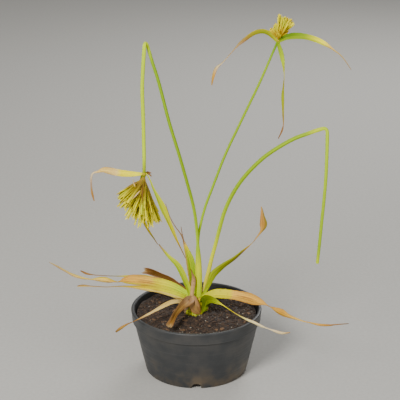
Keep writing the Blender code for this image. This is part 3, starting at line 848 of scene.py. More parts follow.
# %% The folded stem
folded_stem = stem("stem_folded", [
    (2.5, 8, -1.8, 3.4), (2.5, 18, -1.8, 3.3), (2.4, 40, -2.0, 3.3), (1.9, 62, -2.2, 3.2),
    (1.2, 78, -2.6, 3.3), (-1.0, 100, -3.2, 3.4), (-4.5, 118, -4, 3.5), (-10.5, 140, -5.5, 3.5),
    (-18.4, 167.5, -7.5, 3.5), (-29.4, 203.5, -10, 3.5), (-40.4, 245.5, -13, 3.5),
    (-47.5, 268, -14, 3.4), (-51.8, 282.5, -14.8, 3.4), (-53.6, 287.6, -16, 3.2),
    (-54.8, 288.2, -18.2, 3.1), (-55.6, 285.5, -20, 3.5), (-56.3, 275.5, -20.6, 3.9),
    (-57.3, 258, -20.8, 3.9), (-58, 238, -21, 3.9), (-57.1, 212, -21, 3.9), (-56.4, 185, -21, 3.8),
    (-56, 166, -21, 3.7), (-56, 149, -21, 3.4), (-56, 144, -21, 2.6),
], rows=260, deep=(
    (0, 0.9), (0.64, 0.9), (0.673, 0.34), (0.684, 0.26), (0.697, 0.4), (0.74, 0.82), (1, 0.85),
))
# Painted highlight: the pale stop at 0.675, where the stem is crushed flat at its fold, stands for the light
# the flattened kink catches.
culm_green = plant_finish(
    "culm_folded_finish",
    [(0.0, MAUVE), (0.06, SHEATH), (0.18, PALE_STEM), (0.3, paint(144, 164, 16)),
     (0.62, paint(148, 172, 8)), (0.675, paint(200, 214, 70)), (0.7, paint(196, 212, 34)),
     (0.95, paint(200, 216, 30)), (1.0, OLIVE)],
    across=9, along=3, ragged=0.03, flecks=0.12, rough=(0.36, 0.44), relief=0.3, dry=(2, 0), midrib=0,
)
finished(folded_stem, culm_green, "culm_folded")

# %% The upright stem
upright_stem = stem("stem_upright", [
    (0.6, 8, 2.2, 2.8), (0.6, 18, 2.2, 2.8), (0.8, 45, 2.2, 2.8), (2.0, 77.5, 2.4, 2.8),
    (5.2, 96, 3, 2.8), (10.2, 114, 4, 2.8), (17, 132, 5.5, 2.8), (31, 168, 9, 2.8), (48, 204, 13, 2.7),
    (68.2, 246, 19, 2.6), (83.5, 281, 24, 2.4), (88, 291, 25.6, 2.6),
], rows=130)
finished(upright_stem, plant_finish(
    "culm_upright_finish",
    [(0.0, SHEATH), (0.25, PALE_STEM), (0.5, paint(152, 174, 56)), (0.9, paint(162, 182, 74)),
     (1.0, LEAF_GREEN)],
    across=8, along=3, ragged=0.03, flecks=0.1, rough=(0.36, 0.44), relief=0.3, dry=(2, 0), midrib=0,
), "culm_upright")

# %% The bent stem
bent_stem = stem("stem_bent", [
    (7.4, 8, 1.5, 5.6), (7.8, 18, 1.5, 5.6), (9.6, 28, 1.5, 5.2), (12.4, 40, 1.2, 4.6),
    (16.2, 56, 0.6, 4.1), (20.6, 72, 0, 4.0), (25.8, 92, -1, 4.1), (30.6, 108, -2, 4.1),
    (39, 126, -4, 4.2), (51.2, 144, -6, 4.2), (68.6, 162, -9, 4.2), (84, 173.5, -11, 4.2),
    (104, 185, -13, 4.2), (121, 191.5, -15, 4.1), (133, 195.6, -16, 4.0), (138.6, 196.4, -16.5, 3.7),
    (140.8, 193.5, -17, 3.6), (141, 186, -17, 3.7), (140.6, 168, -17, 3.6), (139.5, 143.5, -17, 3.6),
    (137.5, 119.5, -17, 3.5), (135, 95.5, -17, 3.5), (132.5, 71, -17, 3.4), (130.3, 51.5, -17, 3.3),
], rows=240, deep=(
    (0, 0.85), (0.56, 0.9), (0.59, 0.6), (0.601, 0.42), (0.62, 0.62), (0.66, 0.88), (1, 0.88),
))
# Painted highlight: the pale stop at 0.605, at the crushed kink, stands for the light the flattened stem
# catches there.
finished(bent_stem, plant_finish(
    "culm_bent_finish",
    [(0.0, MAUVE), (0.02, paint(200, 178, 140, 1.2)), (0.06, paint(222, 212, 144)),
     (0.15, paint(218, 222, 128)), (0.22, paint(180, 196, 60)), (0.34, paint(152, 172, 12)),
     (0.58, paint(158, 178, 16)), (0.605, paint(206, 214, 80)), (0.64, paint(190, 208, 30)),
     (0.96, paint(156, 176, 14)), (1.0, paint(196, 206, 80))],
    across=9, along=3, ragged=0.03, flecks=0.12, rough=(0.34, 0.44), relief=0.3, dry=(2, 0), midrib=0,
), "culm_bent")

# %% [markdown]
# ## Leaves on the left
#
# The old outer leaves lie over the rim. Each is a keeled strap that dries from the tip back: green at the
# base, then yellow, then papery tan that pinches to a neck, turns over and trails off in a thin curl. The
# turning comes from the roll of each row, the pinch from its width, and the colour from zones along v.

# %% The broad left leaf
broad_left = blade("leaf_left_broad_blade", [
    (-4, 15.5, 0, 5, 30), (-14, 20, 2.8, 7.8, 30), (-28, 26, 4, 11, 32), (-46.5, 30.3, 6, 12, 32),
    (-67, 32.6, 9, 12, 30), (-77, 32.2, 11, 8.5, 45), (-84, 31, 12, 3, 88), (-91, 31.6, 13, 5, 140),
    (-98, 32.8, 15, 7, 150), (-106, 33.4, 17, 5, 145), (-113, 33.8, 18, 2.2, 130),
    (-122, 35.2, 20, 2.6, 150), (-132, 38, 23, 3.2, 150), (-141, 42.8, 26, 2.8, 150),
    (-150, 48, 28, 1.8, 150), (-158, 52.5, 30, 0.6, 150),
], rows=150, columns=12)
finished(broad_left, plant_finish(
    "broad_left_finish",
    [(0.0, LIME), (0.1, paint(198, 212, 24)), (0.2, paint(214, 208, 30)), (0.262, paint(206, 196, 44)),
     (0.29, paint(224, 190, 122, 1.35)), (0.44, TAN), (0.53, TAN), (0.6, paint(242, 212, 146, 1.35)),
     (0.75, STRAW), (0.88, paint(206, 178, 130, 1.2)), (1.0, MAUVE)],
    across=16, ragged=0.16, flecks=0.2, dry=(0.24, 0.8), margin=(YELLOW, 0.3, 0.12, 0.8), midrib=0.15,
), "leaf_left_broad")

# %% The low left leaf and the one behind
low_left = blade("leaf_left_low_blade", [
    (-4, 10.5, -0.5, 4, 25), (-17, 15.3, -6.4, 7.6, 25), (-29, 19.3, -9, 8, 28),
    (-41, 22.2, -12, 7, 28), (-59, 24.8, -16, 5.2, 25), (-72, 26, -19, 2.6, 30),
    (-82, 26.5, -21, 1.3, 40), (-98, 25.9, -24, 0.9, 40), (-112, 26.7, -27, 1.0, 30),
    (-121, 27.3, -29, 2.2, 20), (-128, 26.7, -30, 1, 20),
], rows=130)
# Painted shade: a small dark brown strip under the low leaf's base, taking the dark end of the leaf's
# colours, stands for the shade beneath the leaf.
painted_shade_strip = blade("leaf_left_low_underside", [
    (-6, 10, -6, 1.6, 20), (-10, 10.6, -8.6, 2.2, 20), (-17, 12.6, -11, 2.0, 25),
    (-24, 14.4, -13.6, 0.6, 25),
], rows=30, columns=4, thickness=0.25, pleat=0, span=(0.94, 1))
low_left = joined("leaf_left_low_blade", [low_left, painted_shade_strip])
finished(low_left, plant_finish(
    "low_left_finish",
    [(0.0, LIME), (0.1, paint(202, 208, 40)), (0.34, YELLOW), (0.46, paint(210, 192, 84)),
     (0.58, paint(176, 162, 60)), (0.68, paint(112, 90, 44, 1.2)), (0.86, paint(112, 86, 52, 1.1)),
     (0.93, paint(156, 122, 80, 1.1)), (1.0, BROWN)],
    across=12, ragged=0.08, margin=(paint(228, 208, 140, 1.3), 0.52, 0.4, 0.9), dry=(0.3, 0.7),
), "leaf_left_low")
behind_left = blade("leaf_left_behind_blade", [
    (-7, 17, 3, 4, 30), (-20, 25, 11, 6, 30), (-40, 32, 17, 6.5, 35), (-60, 36, 23, 6, 40),
    (-82, 37.4, 29, 1.4, 50), (-98, 37.9, 33, 0.9, 50), (-110, 38.9, 36, 1.0, 40),
    (-118, 40.2, 38, 2.3, 20), (-124.5, 43.4, 40, 1, 20),
], rows=120)
finished(behind_left, plant_finish(
    "behind_left_finish",
    [(0.0, LIME), (0.35, YELLOW), (0.58, YELLOW), (0.68, OLIVE), (0.76, paint(96, 74, 42, 1.1)),
     (0.88, paint(136, 104, 62, 1.1)), (0.95, paint(152, 116, 76, 1.1)), (1.0, BROWN)], ragged=0.08,
), "leaf_left_behind")

# %% The pale leaf that falls forward
pale_left = blade("leaf_left_pale_blade", [
    (-6, 7, -3, 2.4, 20), (-15.5, 9.6, -14, 3.4, 20), (-24, 10, -21, 4.6, 20), (-32, 7, -28, 4.8, 20),
    (-41, 2.2, -36, 3.6, 25), (-50.5, -3, -45, 2.6, 30), (-60, -8, -52, 1.8, 50),
    (-67, -11.2, -57, 1.6, 80), (-75, -15, -63, 2.8, 140), (-81, -18.8, -67, 3.2, 155),
    (-86.6, -22.5, -71, 1.4, 160),
], rows=110)
finished(pale_left, plant_finish(
    "pale_left_finish",
    [(0.0, BROWN), (0.06, TAN), (0.14, paint(228, 206, 156, 1.3)), (0.35, paint(216, 190, 134, 1.3)),
     (0.6, paint(226, 204, 154, 1.3)), (0.76, TOAST),
     (0.92, paint(180, 140, 86, 1.2)), (1.0, BROWN)],
    across=12, ragged=0.06, dry=(0.5, 0.4),
), "leaf_left_pale")

# %% [markdown]
# ## Dead leaves
#
# Three leaves are long dead. They are brown, ribbed and brittle, with torn ends where the tip has broken
# off, and they have folded lengthwise as they dried. A larger fold and curl give that, and fray tears the
# last rows. The withered sheath stands in front of the crown as a thin spike over a wide flap that hangs.

# %% The dead leaves
dry_front = blade("leaf_dry_front_blade", [
    (-3.4, 13.4, -10.8, 5, 10), (-7.4, 11.2, -13.4, 9.6, 10), (-12.4, 7, -18, 10.4, 12),
    (-17, 2.8, -25.5, 7.8, 12), (-21.8, -3.2, -37, 5.8, 12), (-25.8, -10.5, -50, 5.6, 12),
    (-29.5, -17.6, -57, 7.2, 10),
], rows=80, fold=(0.5, 0.6), curl=(0.8, 1.1), wave=(0.2, 0.7), thickness=0.4, fray=2.2)
dead_zones = [
    (0.0, MAUVE), (0.2, paint(158, 126, 88, 1.1)), (0.45, paint(138, 106, 62, 1.1)),
    (0.7, paint(118, 84, 44, 1.1)), (0.9, paint(138, 102, 56, 1.1)), (1.0, paint(180, 152, 112, 1.1)),
]
finished(dry_front, plant_finish(
    "dry_front_finish", dead_zones, across=8, ragged=0.12, flecks=0.6, rough=(0.7, 0.9), relief=0.6,
    dry=(0.1, 0.5), margin=(paint(176, 146, 104, 1.1), 0.72, 0.92, 0.7), midrib=0.1,
), "leaf_dry_front")
dry_behind = blade("leaf_dry_behind_blade", [
    (-4, 17, 5, 3, 20), (-15, 25, 15, 3.6, 20), (-27, 32.5, 24, 5.4, 20), (-41, 38, 33, 6.6, 20),
    (-50, 41, 40, 7.2, 20), (-57, 43, 44, 7, 15),
], rows=90, fold=(0.5, 0.6), curl=(0.8, 1.2), wave=(0.2, 0.7), thickness=0.4, fray=3)
finished(dry_behind, plant_finish(
    "dry_behind_finish",
    [(0.0, TOAST), (0.25, paint(124, 86, 56, 1.1)), (0.5, paint(98, 70, 36, 1.1)),
     (0.8, paint(92, 64, 30, 1.1)), (0.93, paint(120, 88, 54, 1.1)), (1.0, paint(180, 156, 120, 1.1))],
    across=8, ragged=0.1, flecks=0.6, rough=(0.7, 0.9), relief=0.6, margin=(MAUVE, 0.4, 0.16, 0.8),
    dry=(0.1, 0.3), midrib=0,
), "leaf_dry_behind")
withered_spike = blade("withered_spike", [
    (-4.6, 8, -10.6, 6, 0), (-4.8, 14, -10.6, 5, 0), (-4.4, 20, -10, 4, 0), (-3.4, 28, -9.2, 4.6, 0),
    (-3, 35, -8.6, 3.8, 0), (-4.4, 40.5, -8.2, 1.6, 0), (-6, 45.5, -7.8, 0.6, 0),
], rows=80, columns=12, fold=(0.05, 0.3), curl=(1.1, 0.9), wave=(0.3, 0.4), thickness=0.35, cup=-1,
    span=(0.45, 1))
withered_flap = blade("withered_flap", [
    (-4, 16, -11.2, 4.6, 0), (-3.2, 12.4, -12.6, 9, 0), (-2.4, 7.6, -13.8, 11.4, 0),
    (-0.6, 2.8, -14.2, 10.6, 0), (2.2, -0.4, -14, 6, 0), (4.2, -2, -13.6, 1.4, 0),
], rows=50, columns=12, fold=(0.1, 0.25), curl=(0.9, 0.7), wave=(0.2, 0.6), thickness=0.35, fray=1,
    span=(0.45, 0))
withered = joined("withered_sheath", [withered_spike, withered_flap])
finished(withered, plant_finish(
    "withered_finish",
    [(0.0, paint(124, 94, 58, 1.1)), (0.2, paint(160, 126, 84, 1.1)), (0.42, paint(172, 138, 104, 1.1)),
     (0.6, paint(204, 170, 122, 1.1)), (0.8, paint(186, 150, 116, 1.1)), (1.0, BROWN)],
    across=9, ragged=0.15, flecks=0.5, rough=(0.6, 0.85), relief=0.5, dry=(-1, 0.4), midrib=0.1,
), "leaf_withered_front")

# %% [markdown]
# ## Leaves on the right
#
# The broad right leaf mirrors the left one: a clear yellow base, a sharp edge to the tan, a pinch and a
# long trailing end. In front of it a dark green leaf is folded along its keel, so that one half shows as a
# flange, and narrows at once to a thread. A third leaf rises and ends in an upturned brown flag.

# %% The broad right leaf
broad_right = blade("leaf_right_broad_blade", [
    (4, 12.5, -1.5, 6, 25), (18, 17.6, -8, 9.6, 28), (27, 17.7, -10, 11.4, 30), (39, 16.5, -13, 11, 30),
    (54, 13.4, -16.5, 12.6, 28), (63, 10.4, -19, 11.4, 28), (71, 7.8, -21, 7, 45),
    (77.4, 5.3, -23, 2.6, 88), (84, 1.4, -25, 5.4, 140), (91.7, -2.5, -28, 8, 150),
    (100.4, -6.3, -31, 4.4, 145), (113.6, -10.9, -36, 2.2, 130), (122.7, -12.8, -39, 2, 140),
    (132, -14.9, -42, 2.4, 155), (142, -15.5, -46, 2.4, 155), (151.4, -14.5, -50, 1.2, 150),
    (164, -13.5, -54, 0.6, 150),
], rows=150, columns=12)
finished(broad_right, plant_finish(
    "broad_right_finish",
    [(0.0, LIME), (0.06, paint(206, 206, 10)), (0.215, paint(212, 202, 12)),
     (0.226, paint(222, 184, 120, 1.35)), (0.4, TAN), (0.47, paint(222, 182, 122, 1.3)),
     (0.55, paint(204, 158, 92, 1.3)), (0.68, STRAW), (0.8, TAN), (0.9, TOAST), (1.0, DARK_BROWN)],
    across=16, ragged=0.08, flecks=0.25, dry=(0.24, 0.8), midrib=0.12,
), "leaf_right_broad")

# %% The dark folded leaf
dark_front = blade("leaf_dark_front_blade", [
    (2.6, 5, -4, 6.6, 0), (9, 8.5, -9.5, 9.6, 0), (12.2, 11.3, -14, 12.4, 5), (17.5, 11, -20, 8, 15),
    (23, 8.5, -26, 4.4, 30), (28.5, 6, -31, 1.6, 60), (36, 1, -37, 1.4, 80), (44, -4, -43, 1.6, 100),
    (53.8, -9.5, -50, 2.8, 140), (62, -13, -55, 3.2, 150), (71, -17, -60, 2.6, 150),
    (78, -19.5, -64, 1.8, 120), (84.8, -22.3, -68, 2.8, 150), (93, -24, -72, 2.4, 160),
    (101, -23, -76, 0.7, 160),
], rows=130, fold=(0.7, 0.3), curl=(0.2, 0.9))
dark_flange = blade("dark_flange", [
    (12, 15.4, -12, 11, 0), (11, 10.4, -12.8, 9.6, 0), (9.6, 6, -13.2, 7.4, 0),
    (7.8, 1.5, -13.4, 3.6, 0), (6.3, -2.2, -13.4, 0.6, 0),
], rows=40, fold=(0.5, 0.3), curl=(0.2, 0.4), span=(0, 0.1))
dark_front = joined("leaf_dark_front_blade", [dark_front, dark_flange])
finished(dark_front, plant_finish(
    "dark_front_finish",
    [(0.0, DEEP_GREEN), (0.17, paint(116, 128, 32, 1.2)), (0.25, paint(144, 152, 30)), (0.33, YELLOW),
     (0.45, BUTTER), (0.62, paint(234, 220, 164, 1.1)), (0.8, paint(236, 220, 178, 1)),
     (0.93, paint(232, 212, 162, 1.1)), (1.0, TOAST)],
    across=12, ragged=0.05, flecks=0.15, rough=(0.4, 0.7), dry=(0.4, 0.4), midrib=0.1,
), "leaf_dark_front")

# %% The leaf that rises to a brown flag
rising_right = blade("leaf_right_rising_blade", [
    (6.5, 12, -1.5, 3.4, 10), (9, 20, -2.2, 3.8, 10), (14.5, 31, -2.6, 5.4, 12),
    (18.5, 39, -1, 7.6, 18), (23.5, 43.9, 1, 7.2, 22), (30, 49, 4, 5.8, 25), (42.5, 57.7, 9, 4, 30),
    (53, 66.6, 13, 2.6, 45), (60, 72.8, 16, 1.4, 80), (64.5, 78, 18, 2, 110), (70, 85, 20, 3.6, 140),
    (73, 92.5, 22, 8.6, 160), (71.8, 101.5, 24, 5, 165), (70, 112.5, 26, 0.9, 165),
], rows=130)
finished(rising_right, plant_finish(
    "rising_right_finish",
    [(0.0, LIME), (0.12, paint(150, 160, 6)), (0.32, paint(100, 106, 6)), (0.54, paint(82, 76, 16)),
     (0.61, TOAST), (0.7, paint(214, 178, 118, 1.3)), (0.85, paint(180, 136, 76, 1.15)),
     (1.0, paint(190, 150, 104, 1.2))],
    across=12, ragged=0.05, flecks=0.2, dry=(0.6, 0.5), midrib=0.1,
    margin=(paint(170, 178, 40), 0.4, 0.15, 0.6),
), "leaf_right_rising")

# %% [markdown]
# ## Rising leaves and the centre sheath
#
# The young leaves still stand. The upright one has split at its dried tip into two threads, which are
# separate thin strips joined to the blade. A pale sheath wraps the stems at the centre of the clump.

# %% The rising left leaf
rising_left = blade("leaf_left_rising_blade", [
    (-5.8, 12, 0.4, 3.6, 12), (-7.4, 20, 0.8, 4.4, 12), (-9, 26, 1.6, 5.6, 12),
    (-12.5, 34, 3.2, 6.4, 15), (-16, 42, 5.5, 6.6, 15), (-21.4, 50.5, 7.5, 5.8, 18),
    (-29, 58, 10, 3.8, 20), (-36, 66, 12, 2.2, 25), (-40.5, 72, 13, 0.8, 30),
], rows=90)
finished(rising_left, plant_finish(
    "rising_left_finish",
    [(0.0, LIME), (0.3, paint(166, 180, 12)), (0.6, paint(172, 186, 20)), (0.82, paint(186, 196, 70)),
     (0.95, MAUVE), (1.0, BROWN)],
    across=12, ragged=0.05, flecks=0.15, margin=(YELLOW, 0.6, 0.95, 0.5), dry=(0.8, 0.4), midrib=0.12,
), "leaf_left_rising")

# %% The upright leaf with the split tip
split_leaf = blade("split_blade", [
    (-3, 10, 4.6, 5, 8), (-3.4, 17, 5.6, 6, 8), (-4, 32, 6, 8, 8), (-5.4, 44, 6.2, 9.4, 8),
    (-7.2, 55.5, 6.8, 9, 8), (-10.4, 65.5, 7.4, 5.6, 8), (-13, 73.5, 8, 2.6, 10),
    (-14.4, 77.5, 8.4, 0.8, 10),
], rows=90, wave=(0, 0.3))
thread_long = blade("thread_long", [
    (-12.4, 70, 8, 1.4, 10), (-16, 81.5, 9, 1.3, 20), (-23, 91.5, 10, 1.0, 30),
    (-29, 102.5, 12, 0.9, 30), (-33, 115.5, 14, 0.5, 30),
], rows=60, columns=4, wave=(0, 0.1), thickness=0.25, pleat=0, span=(0.95, 1))
thread_short = blade("thread_short", [
    (-11, 66, 7.6, 1.6, 10), (-14.6, 80, 8.2, 1.1, 20), (-16.5, 91, 8.6, 0.5, 20),
], rows=40, columns=4, wave=(0, 0.1), thickness=0.25, pleat=0, span=(0.95, 1))
split_leaf = joined("leaf_split_tip_blade", [split_leaf, thread_long, thread_short])
finished(split_leaf, plant_finish(
    "split_tip_finish",
    [(0.0, LIME), (0.3, FRESH), (0.6, paint(162, 180, 34)), (0.78, paint(190, 200, 66)),
     (0.87, paint(222, 210, 116)), (0.93, STRAW), (0.96, paint(160, 130, 106, 1)),
     (1.0, paint(134, 104, 88, 1))],
    across=12, ragged=0.12, flecks=0.15, dry=(0.9, 0.4),
    margin=(paint(208, 168, 112, 1.2), 0.26, 0.06, 0.8),
), "leaf_split_tip")

# %% The centre sheath
centre_sheath = blade("centre_sheath", [
    (2.6, 6, -5.2, 5.6, 0), (2.6, 18, -5.2, 6.4, 0), (2.6, 34, -5.2, 7.2, 0), (2.4, 50, -5.2, 6.4, 0),
    (1.9, 64, -5.6, 4.6, 0), (1.4, 76, -6, 1.6, 0),
], rows=90, fold=(0, 0), curl=(1.3, 1.2), wave=(0, 0.1), cup=-1)
finished(centre_sheath, plant_finish(
    "centre_sheath_finish",
    [(0.0, paint(190, 204, 80)), (0.3, paint(196, 206, 104)), (0.6, paint(212, 214, 134)),
     (0.85, PALE_STEM), (1.0, PALE_STEM)],
    across=9, ragged=0.08, flecks=0.1, rough=(0.4, 0.5), dry=(2, 0), midrib=0,
    margin=(MAUVE, 0.84, 1.0, 0.5),
), "leaf_sheath_centre")

# %% [markdown]
# ## The crown
#
# Where the shoots leave the compost, each is wrapped in short overlapping sheaths, pale yellow-green
# inside and brown where they have died back, with coarse fibres left from older ones. The shoots are
# turned and then pinched; the sheaths are short blades that cup inwards around them.


# %% The shoot bases
SHOOT_DEPTH = 8 * MM  # how far a shoot base goes down into the compost


def shoot_base(name, x, y, radius, height):
    """A swollen shoot base with soft ribs, from below the compost to its height above it."""
    profile = [
        (0.8, SOIL_TOP - SHOOT_DEPTH), (0.95, SOIL_TOP - 2 * MM), (1.0, SOIL_TOP + 3 * MM),
        (0.93, SOIL_TOP + 0.45 * height), (0.74, SOIL_TOP + 0.8 * height),
        (0.52, SOIL_TOP + 0.97 * height), (0.2, SOIL_TOP + height),
    ]
    piece = ringed(name, [(share * radius, z) for share, z in profile], sides=36)
    apply_modifier(piece, "SUBSURF", levels=1, render_levels=1)
    for vertex in piece.data.vertices:
        turn = math.atan2(vertex.co.y, vertex.co.x)
        swell = 1 + 0.05 * math.sin(7 * turn + height * 900) + 0.06 * math.sin(3 * turn + radius * 700)
        vertex.co.x = x + vertex.co.x * swell
        vertex.co.y = y + vertex.co.y * swell
    return tidy_mesh(piece, angle=70)


knob_places = [
    (-9.6, -8.4, 2.2, 5.2), (-6.8, -10.6, 2.5, 5.6), (-3.6, -12.2, 2.4, 4.6), (-0.8, -13.4, 2.6, 4.8),
    (2.2, -12.8, 2.3, 4.4),
]
knobs = [
    shoot_base(f"knob_{number}", x * MM, y * MM, radius * MM, height * MM)
    for number, (x, y, radius, height) in enumerate(knob_places)
]
shoots = [
    shoot_base("shoot_main", -1 * MM, 0, 7.8 * MM, 21 * MM),
    shoot_base("shoot_right", 7.6 * MM, 1.2 * MM, 4.9 * MM, 20 * MM),
    shoot_base("shoot_left", -7 * MM, 1.6 * MM, 4.9 * MM, 19 * MM),
    shoot_base("shoot_back", 1.5 * MM, 6 * MM, 5.5 * MM, 15 * MM),
]
shoot_bases = joined("shoot_bases", shoots + knobs)
print("shoot bases:", len(shoot_bases.data.polygons), "faces")


# %% The finish of the shoot bases
def around_finish(name, stops, flecks):
    """A finish for turned shoots: colour by height, ribs and flecks, all on object coordinates."""
    material, tree, shader = new_material(name)
    where = coordinates(tree)
    upright = add_node(tree, "ShaderNodeMapping", {"Vector": where, "Scale": (900, 900, 70)}).outputs[0]
    ribs = noisy(tree, upright, 1.0, detail=3.0)
    height = add_node(tree, "ShaderNodeSeparateXYZ", {0: where}).outputs["Z"]
    level = mapped(tree, height, SOIL_TOP - 1 * MM, SOIL_TOP + 22 * MM)
    ragged = calculated(tree, "ADD", level, mapped(tree, ribs, 0.3, 0.7, -0.12, 0.12))
    spots = placed_group(tree, fleck_group, Scale=320.0, Amount=flecks)
    colour = mixed(tree, spots.outputs["Mask"], ramped(tree, ragged, stops), BROWN)
    tree.links.new(colour, shader.inputs["Base Color"])
    tree.links.new(mapped(tree, ribs, 0.3, 0.7, 0.45, 0.7), shader.inputs["Roughness"])
    raised(tree, shader, ribs, 0.4, 0.4 * MM)
    return material


shoot_finish = around_finish("shoot_finish", [
    (0.0, paint(110, 96, 50, 1.1)), (0.1, paint(160, 160, 50)), (0.25, paint(196, 204, 60)),
    (0.5, LIME), (1.0, paint(200, 206, 90)),
], 0.4)
finished(shoot_bases, shoot_finish, "crown")

# %% The short sheaths around them
# each row is a name, its place across and away, its width, the way it faces, its height and its paint
sheath_rows = [
    ("sheath_a", -8.5, -3.2, 8.5, 60, 15, MAUVE),
    ("sheath_b", 4.4, -11.8, 5.6, -10, 20, paint(240, 230, 50)),
    ("sheath_h", -0.4, -10.0, 4.6, 0, 20, FRESH),
    ("sheath_c", 11.2, -2.8, 7.5, -55, 15, LIME),
    ("sheath_d", -11.5, 2.4, 7.5, 110, 12, paint(190, 170, 96)),
    ("sheath_e", 12.6, 3.2, 7.0, -120, 13, STRAW),
    ("sheath_f", 1.0, 11.4, 9.0, 180, 12, TAN),
    ("sheath_g", -6.5, 7.4, 7.5, 150, 14, LIME),
]
for sheath_name, x, y, width, facing, height, colour in sheath_rows:
    lean_x, lean_y = x * 0.86, y * 0.86
    sheath = blade(sheath_name, [
        (x * 0.96, -4 * COSINE + y * SINE, y * 0.96, width, -facing),
        (x, 0.4 * height * COSINE + y * SINE, y, width * 0.98, -facing),
        (lean_x, 0.8 * height * COSINE + lean_y * SINE, lean_y, width * 0.7, -facing),
        (lean_x * 0.92, height * COSINE + lean_y * SINE, lean_y * 0.92, 1.2, -facing),
    ], rows=30, columns=10, fold=(0, 0), curl=(1.2, 1.0), wave=(0.1, 0.5), thickness=0.35, cup=-1,
        fray=1.5)
    finished(sheath, plant_finish(
        sheath_name + "_finish",
        [(0.0, paint(140, 112, 60, 1.1)), (0.3, colour), (0.85, colour), (0.97, TAN), (1.0, BROWN)],
        across=8, ragged=0.25, flecks=0.4, rough=(0.5, 0.75), relief=0.5, dry=(2, 0), midrib=0,
    ), "crown")

# %% Old fibres at the foot of the crown
STRANDS = 20
rng = random.Random(41)
fibre_strands = []
for number in range(STRANDS):
    turn = rng.uniform(0, 2 * math.pi)
    x, y = 11.5 * math.cos(turn), 1.5 + 8.5 * math.sin(turn)
    out, tall = rng.uniform(1.15, 1.7), rng.uniform(2, 9)
    strand_route = [
        (x * 0.9, -2 + y * SINE, y * 0.9, 0.7),
        (x * 1.05, tall * 0.6 + y * SINE, y * 1.05, 0.55),
        (x * out, tall + y * out * SINE, y * out, 0.4),
        (x * out * 1.12, tall * 0.55 + y * out * 1.12 * SINE, y * out * 1.12, 0.2),
    ]
    fibre_strands.append(stem(f"strand_{number}", strand_route, rows=10, sides=5, ridge=0))
old_fibres = joined("old_fibres", fibre_strands)
finished(old_fibres, plant_finish(
    "old_fibre_finish", [(0.0, DARK_BROWN), (0.5, BROWN), (1.0, paint(150, 120, 80, 1))],
    across=4, flecks=0.4, rough=(0.7, 0.9),
), "crown")

# %% [markdown]
# ## Bracts
#
# Under each head sit long leaf-like bracts. Under the hanging head one sticks out level and kinks down at
# its dry end, one falls to the right, a thin one hangs behind, and one has broken to a brown stub. Under
# the top head one arches each way and one droops beside the stem. They are blades like the leaves.

# %% Bracts of the hanging head
hanging_left = blade("bract_left_kinked", [
    (-56.4, 147.6, -21, 2.2, 10), (-66, 147.2, -21.5, 5, 12), (-75, 147.4, -22, 6.6, 15),
    (-84.5, 148.4, -22.5, 7.4, 18), (-93, 150.2, -23, 7.4, 20), (-99.5, 151.4, -23.5, 6, 20),
    (-105.5, 149.5, -24, 3.2, 40), (-110.5, 147.8, -24, 3, 60), (-112.5, 143.5, -24, 2.6, 40),
    (-112.8, 136, -24, 1.9, 30), (-111.8, 127.5, -24, 2.4, 20), (-109.7, 118.5, -24, 0.8, 20),
], rows=120)
finished(hanging_left, plant_finish(
    "bract_kinked_finish",
    [(0.0, paint(204, 206, 70)), (0.08, paint(240, 234, 112)), (0.28, paint(236, 226, 84)),
     (0.34, paint(234, 208, 146, 1.2)), (0.55, STRAW), (0.66, BONE), (0.78, MAUVE),
     (0.88, paint(176, 142, 92, 1.2)), (1.0, TOAST)],
    across=12, ragged=0.12, flecks=0.15, dry=(0.36, 0.5), midrib=0.1,
), "bract_hanging_left")
hanging_right = blade("bract_right_long", [
    (-55, 148, -21, 1.6, 30), (-53.2, 147, -22.5, 1.4, 30), (-50, 141, -26, 1.6, 40),
    (-46, 131, -30, 2.6, 30), (-41, 121, -32, 4.8, 20), (-36.2, 111, -32, 6.6, 15),
    (-31.5, 100, -31, 5.2, 20), (-26.5, 88.5, -28, 4, 25), (-20.5, 75, -24, 2.4, 30),
    (-16.6, 67, -21, 1.2, 40), (-11.6, 57, -18, 0.8, 50),
], rows=120)
finished(hanging_right, plant_finish(
    "bract_long_finish",
    [(0.0, paint(190, 196, 116)), (0.2, paint(172, 186, 4)), (0.45, paint(188, 194, 4)),
     (0.7, paint(200, 196, 10)), (0.8, paint(196, 172, 60)), (0.88, paint(160, 128, 70, 1.1)),
     (1.0, DARK_BROWN)],
    across=12, ragged=0.06, flecks=0.15, margin=(YELLOW, 0.3, 0.1, 0.6), dry=(0.82, 0.5),
), "bract_hanging_right")
hanging_thin = blade("bract_behind_thin", [
    (-56.4, 148, -20.6, 1.8, 0), (-58, 147, -12, 2.4, 0), (-59.5, 137, 0, 2.8, 0),
    (-59.8, 116, 7, 3, 0), (-56.8, 98, 8, 3, 10), (-51.6, 87, 7.6, 2.2, 10), (-45.5, 78, 7, 1.2, 20),
    (-41.5, 71.8, 6, 0.6, 20),
], rows=90, columns=6)
finished(hanging_thin, plant_finish(
    "bract_thin_finish",
    [(0.0, LIME), (0.6, YELLOW), (0.82, paint(196, 184, 30)), (0.92, OLIVE), (1.0, BROWN)],
    across=8, midrib=0,
), "bract_hanging_thin")
stub_long = blade("stub_long", [
    (-55.4, 147.6, -20.6, 2, 0), (-52.4, 148.6, -19.8, 2.4, 0), (-50.4, 147, -19.4, 1.8, 20),
    (-48.2, 144.6, -19.2, 0.8, 20),
], rows=24, columns=6, curl=(0.6, 1.0), fray=0.8)
stub_short = blade("stub_short", [
    (-55, 148.4, -20.2, 1.4, 0), (-52, 149.4, -19.2, 1.6, 0), (-48.4, 148.4, -18.6, 0.6, 0),
], rows=20, columns=6, curl=(0.6, 1.0))
finished(joined("bract_stub", [stub_long, stub_short]), plant_finish(
    "bract_stub_finish",
    [(0.0, OLIVE), (0.3, BROWN), (0.8, paint(150, 118, 80, 1.1)), (1.0, BROWN)],
    across=6, flecks=0.5, rough=(0.6, 0.85),
), "bract_hanging_stub")

